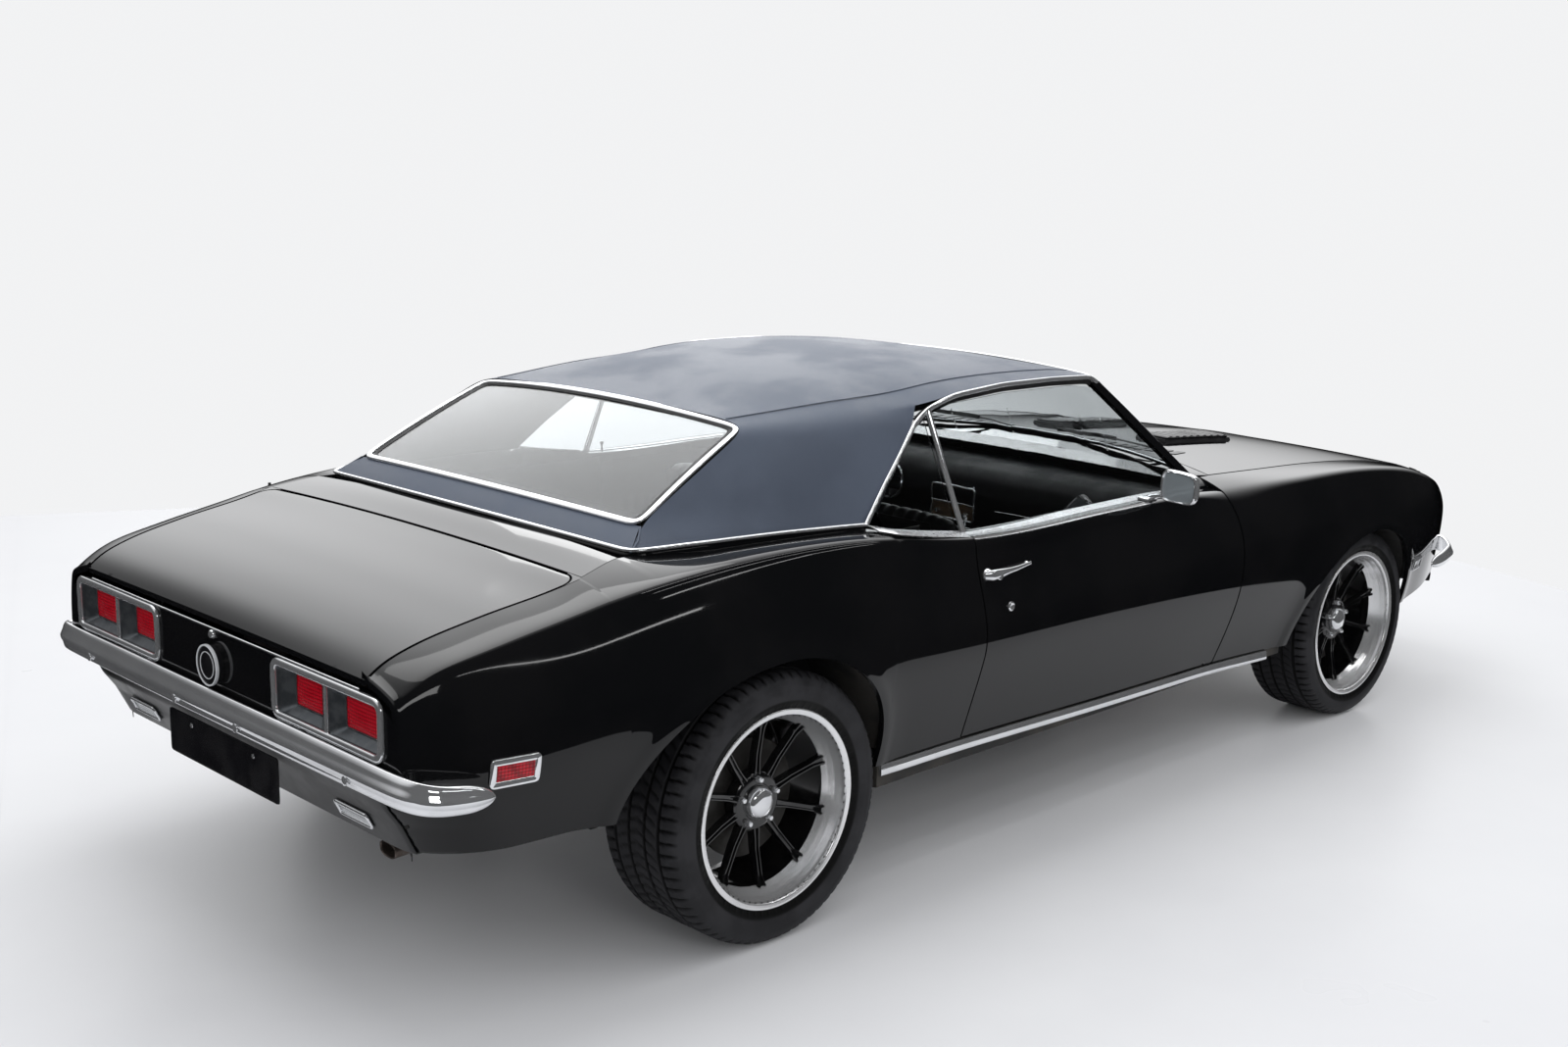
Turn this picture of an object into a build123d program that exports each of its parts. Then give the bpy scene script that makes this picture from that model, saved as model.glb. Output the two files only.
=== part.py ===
"""Two-door hardtop muscle car, built as an assembly of separate panels, glass, cabin and running gear.

Millimetres. +X is forward, +Y is the car's left, +Z is up. The origin is on the ground under the middle
of the car's overall box. Every outer panel takes its shape from one table of body stations, so panels
that meet always line up.
"""

from build123d import *
from collections import namedtuple
import math
import os

# ---------------------------------------------------------------- driving dimensions
WHEELBASE = 2743.0
REAR_AXLE_X = -1330.0
FRONT_AXLE_X = REAR_AXLE_X + WHEELBASE

PANEL_GAP = 5.0                 # shut line beside a moving panel
DOOR_FRONT_GAP = 6.5            # wider here, because the door's corner swings past the fender
SEAT_GAP = 0.3                  # seat clearance of a piece that is held by another
PIN_GAP = 0.06                  # running clearance of a pin in its bore
SKIN = 18.0                     # outer panel with its flanges
SHEET = 8.0                     # inner sheet metal
GLASS = 6.0

DOOR_REAR_X = -604.0
FENDER_REAR_X = 611.0
DOOR_FRONT_X = FENDER_REAR_X - DOOR_FRONT_GAP
DOOR_INNER_Y = 770.0            # cabin face of the door trim
DOOR_HINGE_BACK = 50.0          # hinge line behind the door's leading edge
DOOR_HINGE_Y = 900.0
DOOR_HINGE_HEIGHTS = (585.0, 700.0)
DOOR_PIN_R = 5.0

HOOD_REAR_X = 672.0             # at the sides; the middle is further forward
HOOD_REAR_BOW = 178.0
HOOD_FRONT_X = 2030.0
HOOD_HALF_REAR = 728.0
HOOD_HALF_FRONT = 655.0
HOOD_THICK = 20.0
HOOD_FRONT_GAP = 8.0
HOOD_HINGE_X = 625.0
HOOD_HINGE_Z = 884.0
HINGE_PIN_R = 6.0

LID_FRONT_X = -1775.0
LID_REAR_X = -2312.0
LID_HALF_FRONT = 690.0
LID_HALF_REAR = 660.0
LID_THICK = 20.0
LID_FRONT_GAP = 8.0
LID_HINGE_AHEAD = 110.0
LID_HINGE_Z = 925.0
LID_HINGE_Y = 520.0
LID_PANEL_TOP = 773.0           # tail panel's upper edge, under the lid

KINGPIN_Y = 725.0
KINGPIN_R = 9.0

REAR_TYRE_R = 338.0
REAR_TYRE_W = 275.0
REAR_RIM_W = 260.0
REAR_WHEEL_FACE_Y = 893.0       # outer lip of the rim
FRONT_TYRE_R = 321.0
FRONT_TYRE_W = 238.0
FRONT_RIM_W = 225.0
FRONT_WHEEL_FACE_Y = 868.0
RIM_R = 249.0                   # outer lip of an 18 inch rim
BEAD_R = 233.0
SPOKES = 10
HUB_DISH = 78.0                 # how far the hub face sits inboard of the lip
SPINDLE_R = 20.0

FLOOR_Z = 245.0                 # underside of the cabin floor
FLOOR_SHEET = 12.0
TUNNEL_HALF = 140.0
TUNNEL_TOP = 430.0
CABIN_HALF = 700.0
AXLE_FLOOR_HALF = 590.0         # floor between the rear wheelhouses
TRUNK_FLOOR_Z = 468.0

# ---------------------------------------------------------------- body stations
# crease: upper edge of the side; wide: widest point; sill: lower edge of the side panels.
# lower_round: how round the lower side is; power: how square its upper side is; flat: 1 where the
# upper side runs vertically into the belt.
Station = namedtuple("Station", "x crease_y crease_z wide_y wide_z sill_y sill_z lower_round power flat")
SIDE = [
    Station(-2310, 772, 770, 790, 640, 770, 440, 0.5, 2.0, 0.0),
    Station(-2235, 788, 818, 822, 640, 786, 432, 0.5, 2.0, 0.0),
    Station(-2087, 800, 853, 858, 640, 806, 424, 0.4, 2.0, 0.0),
    Station(-1900, 808, 888, 888, 642, 826, 412, 0.3, 2.0, 0.0),
    Station(-1650, 822, 930, 910, 645, 840, 396, 0.2, 2.0, 0.0),
    Station(-1330, 834, 956, 921, 645, 848, 376, 0.15, 2.0, 0.0),
    Station(-1000, 846, 948, 921, 640, 846, 352, 0.12, 1.8, 0.2),
    Station(-607, 866, 897, 920, 630, 838, 345, 0.1, 1.6, 1.0),
    Station(0, 866, 893, 917, 635, 838, 334, 0.15, 1.8, 1.0),
    Station(350, 855, 888, 919, 645, 833, 328, 0.3, 2.2, 0.6),
    Station(610, 830, 868, 920, 652, 826, 322, 0.5, 2.5, 0.0),
    Station(1000, 846, 866, 920, 645, 836, 312, 0.5, 2.4, 0.0),
    Station(1413, 850, 855, 912, 632, 842, 315, 0.5, 2.3, 0.0),
    Station(1750, 836, 814, 893, 615, 838, 330, 0.5, 2.2, 0.0),
    Station(1990, 798, 755, 845, 605, 802, 345, 0.5, 2.2, 0.0),
    Station(2190, 728, 700, 765, 590, 738, 360, 0.5, 2.2, 0.0),
]

# Heights along the car. centre is on the middle plane, edge is at the hood or lid gap.
Deck = namedtuple("Deck", "x centre edge")
TAIL_DECK = [
    Deck(-2312, 803, 800), Deck(-2285, 828, 822), Deck(-2215, 860, 852), Deck(-2040, 904, 892),
    Deck(-1860, 936, 922), Deck(-1775, 952, 940), Deck(-1640, 982, 962), Deck(-1330, 985, 972),
    Deck(-900, 960, 950),
]
NOSE_DECK = [
    Deck(620, 936, 902), Deck(947, 915, 883), Deck(1319, 888, 861), Deck(1566, 864, 840),
    Deck(1800, 834, 812), Deck(2000, 796, 778), Deck(2100, 772, 752), Deck(2220, 732, 722),
]

# Roof: height on the middle plane, height and half width at the drip rail.
Roof = namedtuple("Roof", "x centre rail_z rail_y")
ROOF = [
    Roof(205, 1254, 1236, 600), Roof(100, 1276, 1244, 622), Roof(-250, 1308, 1248, 640),
    Roof(-460, 1312, 1238, 642), Roof(-600, 1308, 1222, 640), Roof(-850, 1288, 1216, 618),
    Roof(-1135, 1240, 1210, 572),
]


def along(table, column, x):
    """Smooth value of a column at x, through the table's rows (cubic Hermite with mean slopes)."""
    rows = sorted(table, key=lambda row: row.x)
    xs = [row.x for row in rows]
    ys = [getattr(row, column) for row in rows]
    x = min(max(x, xs[0]), xs[-1])
    steps = [(ys[i + 1] - ys[i]) / (xs[i + 1] - xs[i]) for i in range(len(xs) - 1)]
    slopes = [steps[0]] + [(a + b) / 2 for a, b in zip(steps, steps[1:])] + [steps[-1]]
    i = max(k for k in range(len(xs) - 1) if xs[k] <= x or k == 0)
    h = xs[i + 1] - xs[i]
    t = (x - xs[i]) / h
    return (
        (2 * t**3 - 3 * t**2 + 1) * ys[i]
        + (t**3 - 2 * t**2 + t) * h * slopes[i]
        + (3 * t**2 - 2 * t**3) * ys[i + 1]
        + (t**3 - t**2) * h * slopes[i + 1]
    )


def side_y(x, z):
    """Half width of the body side at station x and height z."""
    s = Station(x, *(along(SIDE, name, x) for name in Station._fields[1:]))
    if z <= s.wide_z:
        t = min((s.wide_z - z) / (s.wide_z - s.sill_z), 1.3)
        c = s.lower_round
        drop = (math.hypot(t, c) - c) / (math.hypot(1, c) - c)
        return s.wide_y - (s.wide_y - s.sill_y) * drop
    t = min((z - s.wide_z) / (s.crease_z - s.wide_z), 1.0)
    drop = s.flat * (3 * t**2 - 2 * t**3) + (1 - s.flat) * t**s.power
    return s.wide_y - (s.wide_y - s.crease_y) * drop


def side_line(x, low, high, count=6):
    """Points of the body side from height low to height high at station x."""
    heights = [low + (high - low) * k / (count - 1) for k in range(count)]
    return [(side_y(x, z), z) for z in heights]


def inward(points, depth):
    """The same open line moved inwards (to its left-hand side when it climbs) by depth."""
    moved = []
    for i, (y, z) in enumerate(points):
        a = points[max(i - 1, 0)]
        b = points[min(i + 1, len(points) - 1)]
        dy, dz = b[0] - a[0], b[1] - a[1]
        length = math.hypot(dy, dz)
        moved.append((y - depth * dz / length, z + depth * dy / length))
    return moved


def ring_loft(rings):
    """Ruled solid through closed rings of 3-D points."""
    wires = [Wire.make_polygon([Vector(*p) for p in ring], close=True) for ring in rings]
    return Solid.make_loft(wires, ruled=True)


def section_loft(stations, ring_at):
    """Ruled solid through rings of (y, z) given at each station x."""
    return ring_loft([[(x, y, z) for y, z in ring_at(x)] for x in stations])


def block(x0, x1, y0, y1, z0, z1):
    """Box between two corners."""
    return Pos((x0 + x1) / 2, (y0 + y1) / 2, (z0 + z1) / 2) * Box(abs(x1 - x0), abs(y1 - y0), abs(z1 - z0))


def side_profile(points, y0, y1):
    """Solid with a side-view outline of (x, z) points, from y0 to y1."""
    face = Face(Wire.make_polygon([Vector(x, y0, z) for x, z in points], close=True))
    return Solid.extrude(face, Vector(0, y1 - y0, 0))


def both(piece):
    """A left-hand piece and its mirror image."""
    return [piece, piece.mirror(Plane.XZ)]


def rod(a, b, radius):
    """Round bar from point a to point b."""
    start, end = Vector(*a), Vector(*b)
    return Solid.make_cylinder(radius, (end - start).length, Plane(start, z_dir=(end - start)))


def solids_of(shape):
    """All solids of a shape or list of shapes."""
    if isinstance(shape, (list, tuple)):
        return [s for item in shape for s in solids_of(item)]
    return list(shape.solids())


def write(name, shape):
    """One STEP file for one sub-part."""
    solids = solids_of(shape)
    export_step(solids[0] if len(solids) == 1 else Compound(solids), f"parts/{name}.step")


def fuse(*shapes):
    """One shape out of several that overlap or touch."""
    parts = [s for shape in shapes for s in solids_of(shape)]
    result = parts[0]
    for solid in parts[1:]:
        result = result + solid
    return result


def cut(shape, *tools):
    """Shape without the tools, as a list of solids."""
    result = solids_of(shape)
    for tool in tools:
        kept = []
        for solid in result:
            kept += solids_of(solid - tool)
        result = kept
    return result


def deck_z(table, x, y, half):
    """Height of the hood, lid or shoulder at x and y, crowned from its edge to the centre."""
    centre, edge = along(table, "centre", x), along(table, "edge", x)
    return centre - (centre - edge) * min(abs(y) / half, 1.0) ** 2


def spread(a, b, count):
    """count evenly spaced values from a to b."""
    return [a + (b - a) * k / (count - 1) for k in range(count)]


# ---------------------------------------------------------------- wheel arches
Arch = namedtuple("Arch", "x base_z top_z ahead behind")
REAR_ARCH = Arch(REAR_AXLE_X, 390, 716, 374, 462)
FRONT_ARCH = Arch(FRONT_AXLE_X, 335, 654, 345, 402)
LINER_BACK = 18.0               # wheelhouse inside, behind the arch lip


def arch_outline(arch, grow=0.0, low=200.0):
    """Half-oval opening in side view, grown by grow, carried down by low below its base."""
    points = []
    for k in range(25):
        angle = math.pi * k / 24
        reach = (arch.ahead if math.cos(angle) > 0 else arch.behind) + grow
        rise = arch.top_z - arch.base_z + grow
        points.append((arch.x + reach * math.cos(angle), arch.base_z + rise * math.sin(angle)))
    points += [(arch.x - arch.behind - grow - 12, arch.base_z - low)]
    points += [(arch.x + arch.ahead + grow + 12, arch.base_z - low)]
    return points


def arch_cutter(arch):
    """Solid of the opening through the left body side."""
    return side_profile(arch_outline(arch), 560, 1100)


def wheelhouse(arch, inner_y, outside):
    """Liner around a rear wheel or front wheel: a curved wall and a flat inner wall, left side."""
    outer = side_profile(arch_outline(arch, LINER_BACK + SHEET, 0.1), inner_y, 900)
    hollow = side_profile(arch_outline(arch, LINER_BACK), inner_y + SHEET, 920)
    return cut(outer, hollow, outside)


def outside_of_skin(stations):
    """Everything outboard of the inner face of the side panels, left side."""
    def ring(x):
        line = inward(side_line(x, 300, along(SIDE, "crease_z", x), 9), SKIN + 5)
        return line + [(line[-1][0], 1100), (1150, 1100), (1150, 300)]
    return section_loft(stations, ring)


# ---------------------------------------------------------------- outer panels
def skin_ring(outer, thick):
    """Closed ring of a skin from its outer line; its last edge stands upright."""
    inner = inward(outer, thick)
    inner[-1] = (outer[-1][0], outer[-1][1] - thick)
    return outer + inner[::-1]


QUARTER_STATIONS = [-2310, -2235, -2087, -1900, -1775, -1640, -1480, -1330, -1160, -1000, -912, -880, -760,
                    -655, -609]
FENDER_STATIONS = [FENDER_REAR_X, 618, 640, 665, 800, 1000, 1200, 1413, 1600, 1750, 1880, 1990, 2100, 2190]


def lid_half(x):
    share = (x - LID_FRONT_X) / (LID_REAR_X - LID_FRONT_X)
    return LID_HALF_FRONT + (LID_HALF_REAR - LID_HALF_FRONT) * share


def hood_half(x):
    share = (x - HOOD_REAR_X) / (HOOD_FRONT_X - HOOD_REAR_X)
    return HOOD_HALF_REAR + (HOOD_HALF_FRONT - HOOD_HALF_REAR) * share


def side_glass_y(x, z):
    """Outer face of the side glass, leaning in from the belt to the drip rail."""
    belt = 797 - (x + 590) * 47 / 1130
    return belt - (belt - 641) * (z - 900) / 338


# Inner edge of the quarter's shoulder ahead of the lid: under the roof pillar, then along the glass.
Shoulder = namedtuple("Shoulder", "x inner z")
SHOULDER = [Shoulder(-1775, 695, 940), Shoulder(-1640, 660, 962), Shoulder(-912, 728, 948)]
SHOULDER += [Shoulder(x, side_glass_y(x, z - SKIN) + SEAT_GAP, z) for x,
             z in ((-880, 942), (-760, 921), (-609, 903))]


def straight(table, column, x):
    """Value of a column at x on straight lines through the table's rows."""
    rows = sorted(table, key=lambda row: row.x)
    x = min(max(x, rows[0].x), rows[-1].x)
    for a, b in zip(rows, rows[1:]):
        if x <= b.x:
            return getattr(a, column) + (getattr(b, column) - getattr(a, column)) * (x - a.x) / (b.x - a.x)


def quarter_ring(x):
    """Skin of the quarter panel: side, crease and shoulder up to the lid gap or the roof's foot."""
    outer = side_line(x, along(SIDE, "sill_z", x), along(SIDE, "crease_z", x), 9)
    if x <= LID_FRONT_X:
        inner, edge = lid_half(x) + PANEL_GAP, along(TAIL_DECK, "edge", x)
    else:
        inner, edge = straight(SHOULDER, "inner", x), straight(SHOULDER, "z", x)
    outer += [((outer[-1][0] + inner) / 2, (outer[-1][1] + edge) / 2 + 3), (inner, edge)]
    return skin_ring(outer, SKIN)


def quarter_panel():
    body = section_loft(QUARTER_STATIONS, quarter_ring)
    pillar = section_loft([-655, -609], lambda x: inward(side_line(x, 360, 860, 5), SKIN - 2)
                          + [(DOOR_INNER_Y, 860), (DOOR_INNER_Y, 360)])
    return cut(fuse(body, pillar), arch_cutter(REAR_ARCH))


def fender_skin(x):
    """Thin at the door, so that the door's corner can swing past."""
    return 3.0 if x < 630 else SKIN


def fender_ring(x):
    """Skin of the front fender: side, crease and top up to the hood gap."""
    inner = hood_half(x) + PANEL_GAP
    crease_y, crease_z = along(SIDE, "crease_y", x), along(SIDE, "crease_z", x)
    outer = side_line(x, along(SIDE, "sill_z", x), crease_z, 9)
    edge = along(NOSE_DECK, "edge", x)
    outer += [((crease_y + inner) / 2, (crease_z + edge) / 2 + 2), (inner, edge)]
    return skin_ring(outer, fender_skin(x))


def front_fender():
    return cut(section_loft(FENDER_STATIONS, fender_ring), arch_cutter(FRONT_ARCH))


Pane = namedtuple("Pane", "x low high")
DOOR_GLASS = [Pane(-584, 850, 1198), Pane(-480, 850, 1216), Pane(-250, 850, 1226), Pane(60, 850, 1222),
              Pane(155, 850, 1208), Pane(508, 850, 916)]
QUARTER_GLASS = [Pane(-878, 926, 988), Pane(-812, 912, 1042), Pane(-700, 880, 1128), Pane(-600, 880, 1196)]


def side_glass(panes):
    """Leaning pane from a table of lower and upper heights."""
    rings = []
    for x, low, high in panes:
        outer = [(x, side_glass_y(x, low), low), (x, side_glass_y(x, high), high)]
        rings.append(outer + [(x, y - GLASS, z) for x, y, z in reversed(outer)])
    return ring_loft(rings)


def door_ring(x):
    sill = along(SIDE, "sill_z", x) + PANEL_GAP
    outer = side_line(x, sill, along(SIDE, "crease_z", x), 9)
    return outer + [(DOOR_INNER_Y, outer[-1][1]), (DOOR_INNER_Y, sill)]


DOOR_HINGE_X = DOOR_FRONT_X - DOOR_HINGE_BACK
HINGE_NOTCH = 12.0              # half height of the door's notch around a hinge arm
HINGE_ARM = 6.0                 # half height of the arm
HINGE_PIN_HALF = 26.0


def door():
    """Whole door, outer skin to trim, with a slot for the glass and bores for the hinge pins."""
    body = section_loft([DOOR_REAR_X, -400, -150, 100, 350, DOOR_FRONT_X], door_ring)
    low = DOOR_GLASS[0].low - SEAT_GAP
    slot = ring_loft([
        [(x, side_glass_y(x, low) + 4, low), (x, side_glass_y(x, 960) + 4, 960),
         (x, side_glass_y(x, 960) - GLASS - 4, 960), (x, side_glass_y(x, low) - GLASS - 4, low)]
        for x in (-592, 516)])
    rear_taper = Solid.extrude(Face(Wire.make_polygon(
        [Vector(DOOR_REAR_X - 1, 860, 200), Vector(DOOR_REAR_X - 1, 700, 200),
         Vector(DOOR_REAR_X + 14, 700, 200),
         Vector(DOOR_REAR_X + 10, 800, 200)], close=True)), Vector(0, 0, 800))
    tools = [slot, rear_taper]
    for z in DOOR_HINGE_HEIGHTS:
        tools.append(block(DOOR_HINGE_X - 12, DOOR_FRONT_X + 1, 700, DOOR_HINGE_Y + 8, z - HINGE_NOTCH,
                           z + HINGE_NOTCH))
        tools.append(Pos(DOOR_HINGE_X, DOOR_HINGE_Y, z) * Cylinder(DOOR_PIN_R + PIN_GAP,
                                                                   2 * HINGE_PIN_HALF + 2))
    return cut(body, *tools)


def door_hinge(z):
    """Pin and bent arm from the hinge post into the door's notch."""
    pin = Pos(DOOR_HINGE_X, DOOR_HINGE_Y, z) * Cylinder(DOOR_PIN_R, 2 * HINGE_PIN_HALF)
    elbow_x, elbow_y = DOOR_HINGE_X + 27, DOOR_HINGE_Y - 62
    points = [(DOOR_HINGE_X - 6, DOOR_HINGE_Y), (DOOR_HINGE_X + 6, DOOR_HINGE_Y + 3),
              (elbow_x + 10, elbow_y + 8),
              (FENDER_REAR_X + 20, elbow_y + 8), (FENDER_REAR_X + 20, elbow_y - 10),
              (elbow_x - 6, elbow_y - 6)]
    arm = Solid.extrude(Face(Wire.make_polygon([Vector(x, y, z - HINGE_ARM) for x, y in points],
                                               close=True)),
                        Vector(0, 0, 2 * HINGE_ARM))
    return fuse(pin, arm)


def crowned_ring(table, x, half, thick):
    """Crowned sheet across the car at station x."""
    outer = [(y, deck_z(table, x, y, half)) for y in (half, half * 0.6, half * 0.2, -half * 0.2,
                                                      -half * 0.6, -half)]
    return outer + [(y, z - thick) for y, z in reversed(outer)]


# Middle line of a lid hinge arm, from its pin down, back under the filler and up to the lid.
GOOSENECK = [(0, 4), (-24, -100), (-80, -118), (-128, -78), (-132, 3)]
GOOSENECK_HALF = 8.0
DECK_FILLER_FRONT_X = -1640.0


def goosenecks():
    """The lid's two hinge arms with their eyes."""
    axis_x = LID_FRONT_X + LID_HINGE_AHEAD
    outline = inward(GOOSENECK, GOOSENECK_HALF) + inward(GOOSENECK, -GOOSENECK_HALF)[::-1]
    arms = []
    for y in (-LID_HINGE_Y, LID_HINGE_Y):
        arm = side_profile([(axis_x + dx, LID_HINGE_Z + dz) for dx, dz in outline], y - 9, y + 9)
        eye = Pos(axis_x, y, LID_HINGE_Z) * Rot(90, 0, 0) * Cylinder(HINGE_PIN_R + 6, 18)
        arms.append(fuse(arm, eye))
    return arms


def trunk_lid():
    """Lid with its two hinge arms."""
    panel = section_loft([LID_FRONT_X, -1900, -2050, -2215, -2285, LID_REAR_X],
                         lambda x: crowned_ring(TAIL_DECK, x, lid_half(x), LID_THICK))
    axis_x = LID_FRONT_X + LID_HINGE_AHEAD
    bore = Pos(axis_x, 0, LID_HINGE_Z) * Rot(90, 0, 0) * Cylinder(HINGE_PIN_R + PIN_GAP, 1200)
    return cut(fuse(panel, *goosenecks()), bore)


def deck_filler():
    """Panel between the rear window and the lid, with the lid's hinge pins under it."""
    result = section_loft(
        [LID_FRONT_X + LID_FRONT_GAP, DECK_FILLER_FRONT_X],
        lambda x: crowned_ring(TAIL_DECK, x, straight(SHOULDER, "inner", x) - SEAT_GAP, 10))
    axis_x = LID_FRONT_X + LID_HINGE_AHEAD
    for y in (-LID_HINGE_Y, LID_HINGE_Y):
        for side in (-1, 1):
            ear_y = y + side * 17
            ear = side_profile([(axis_x - 12, 913), (axis_x - 12, 958), (axis_x + 12, 962),
                                (axis_x + 12, 913)],
                               ear_y - 4, ear_y + 4)
            result = fuse(result, ear)
        pin = Pos(axis_x, y, LID_HINGE_Z) * Rot(90, 0, 0) * Cylinder(HINGE_PIN_R, 40)
        result = fuse(result, pin)
    return result


def bow_cylinder(grow):
    """Upright cylinder whose front is the bowed rear edge of the hood."""
    radius = (HOOD_HALF_REAR**2 + HOOD_REAR_BOW**2) / (2 * HOOD_REAR_BOW)
    centre_x = HOOD_REAR_X + HOOD_REAR_BOW - radius
    return Pos(centre_x, 0, 900) * Cylinder(radius + grow, 600)


HOOD_STATIONS = [560, 672, 760, 947, 1080, 1319, 1480, 1640, 1800, HOOD_FRONT_X]
HOOD_STRAP_Y = 560.0


def hood():
    """Hood with its two hinge straps."""
    panel = section_loft(HOOD_STATIONS, lambda x: crowned_ring(NOSE_DECK, x, hood_half(x), HOOD_THICK))
    result = cut(panel, bow_cylinder(0))
    for y in (-HOOD_STRAP_Y, HOOD_STRAP_Y):
        strap = side_profile(
            [(HOOD_HINGE_X - 6, HOOD_HINGE_Z - 10), (HOOD_HINGE_X + 6, HOOD_HINGE_Z - 14), (745, 852),
             (905, 852),
             (905, 880), (760, 886), (735, 868), (HOOD_HINGE_X - 2, HOOD_HINGE_Z + 6)], y - 8, y + 8)
        eye = Pos(HOOD_HINGE_X, y, HOOD_HINGE_Z) * Rot(90, 0, 0) * Cylinder(HINGE_PIN_R + 6, 16)
        result = fuse(result, strap, eye)
    bore = Pos(HOOD_HINGE_X, 0, HOOD_HINGE_Z) * Rot(90, 0, 0) * Cylinder(HINGE_PIN_R + PIN_GAP, 1300)
    return cut(result, bore)


def facet_z(table, x, y, half):
    """Height of the crowned sheet's faceted surface at y."""
    edges = [half, half * 0.6, half * 0.2, -half * 0.2, -half * 0.6, -half]
    for a, b in zip(edges, edges[1:]):
        if b <= y <= a:
            za, zb = deck_z(table, x, a, half), deck_z(table, x, b, half)
            return za + (zb - za) * (y - a) / (b - a)


def hood_insert():
    """Raised vent plate on the hood, left side."""
    def ring(x):
        low = [(y, facet_z(NOSE_DECK, x, y, hood_half(x)) + SEAT_GAP) for y in (160, 290)]
        return low + [(284, low[1][1] + 12), (166, low[0][1] + 12)]
    return section_loft([1080, 1319, 1480], ring)


def nose_panel():
    """Panel between the fenders ahead of the hood."""
    return section_loft([HOOD_FRONT_X + HOOD_FRONT_GAP, 2110, 2215],
                        lambda x: crowned_ring(NOSE_DECK, x, hood_half(x) + PANEL_GAP - SEAT_GAP,
                                               HOOD_THICK))


# ---------------------------------------------------------------- roof and glass
def roof_ring(x):
    centre, rail_z, rail_y = (along(ROOF, name, x) for name in ("centre", "rail_z", "rail_y"))
    half = [(rail_y * f, centre - (centre - rail_z) * f**2.4) for f in (0.0, 0.35, 0.65, 0.85, 0.95, 1.0)]
    outer = [(y, z) for y, z in reversed(half)] + [(-y, z) for y, z in half[1:]]
    inner = [(y * (1 - 12 / rail_y), z - 14) for y, z in outer]
    return outer + inner[::-1]


SAIL_FOOT_FRONT = (-905, 752, 950)
SAIL_FOOT_REAR = (-1590, 658, 966)
SAIL_HEAD_FRONT = (-608, 640, 1212)
SAIL_HEAD_REAR = (-1140, 575, 1205)
SAIL_THICK = 30.0


def blend_point(a, b, t):
    return tuple(p + (q - p) * t for p, q in zip(a, b))


def sail_panel():
    """Pillar between the quarter window and the rear window, left side."""
    rings = []
    for t in (-0.012, 0.5, 1.0):
        front = blend_point(SAIL_FOOT_FRONT, SAIL_HEAD_FRONT, t)
        rear = blend_point(SAIL_FOOT_REAR, SAIL_HEAD_REAR, t)
        x, y, z = blend_point(front, rear, 0.5)
        outer = [front, (x, y + 12, z), rear]
        rings.append(outer + [(x, y - SAIL_THICK, z) for x, y, z in reversed(outer)])
    return ring_loft(rings)


REAR_GLASS_FOOT = (-1524, 600, 1014, -36, 16)
REAR_GLASS_HEAD = (-1150, 544.4, 1198, -24, 26)


def bowed_pane(foot, head, thick, reach=1.0):
    """Curved pane between two arcs. Each arc is (x, half width, z, bow in x, bow in z)."""
    rings = []
    for f in spread(-reach, reach, 9):
        low, high = ((x + bow_x * (1 - f * f), half * f, z + bow_z * (1 - f * f)) for x, half, z, bow_x,
                     bow_z in (foot, head))
        shift = -thick if foot[3] > 0 else thick
        rings.append([low, high, (high[0] + shift, *high[1:]), (low[0] + shift, *low[1:])])
    return ring_loft(rings)


def roof():
    """Roof skin, rear pillars and the strip under the rear window."""
    top = section_loft([205, 100, -100, -250, -460, -600, -850, -1000, -1135], roof_ring)
    x, half, z, bow_x, bow_z = REAR_GLASS_FOOT
    top_edge = (x - 4, half, z - 0.8, bow_x, bow_z)
    strip = bowed_pane((DECK_FILLER_FRONT_X + 40, 612, 952, -38, 20), top_edge, 12, 1.07)
    sails = both(sail_panel())
    filler_top = block(-1700, DECK_FILLER_FRONT_X, -800, 800, 900, 1100)
    shape = fuse(top, sails[0], sails[1], strip)
    panels = both(Compound(quarter_panel()))
    return cut(shape, filler_top, *[Pos(0, 0, SEAT_GAP) * panel for panel in panels])


WINDSHIELD_FOOT = (560, 708, 920, 160, 21)
WINDSHIELD_HEAD = (222, 590, 1224, 40, 18)


def windshield():
    return bowed_pane(WINDSHIELD_FOOT, WINDSHIELD_HEAD, GLASS)


def rear_window():
    return bowed_pane(REAR_GLASS_FOOT, REAR_GLASS_HEAD, GLASS)


def windshield_post():
    """Slender post from the cowl to the roof's front corner, left side."""
    rings = []
    for t in (-0.06, 0.985):
        x, y, z = blend_point(WINDSHIELD_FOOT[:3], WINDSHIELD_HEAD[:3], t)
        rings.append([(x - 8, y + 0.4, z), (x + 8, y + 0.4, z), (x - 6, y + 32, z), (x - 44, y + 28, z),
                      (x - 44, y + 2, z)])
    return ring_loft(rings)


# Top of the cowl: height on the middle plane and at its sides.
COWL = [Deck(520, 905, 895), Deck(600, 925, 908), Deck(665, 935, 901), Deck(720, 939, 896),
        Deck(850, 921, 888)]
FIREWALL_X = 600.0
FIREWALL_SHEET = 15.0


def tunnel_outline(half, top):
    """Rounded-off box section of the transmission tunnel."""
    return [(-half, 100), (-half, top - 60), (-half + 60, top), (half - 60, top), (half, top - 60),
            (half, 100)]


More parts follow.
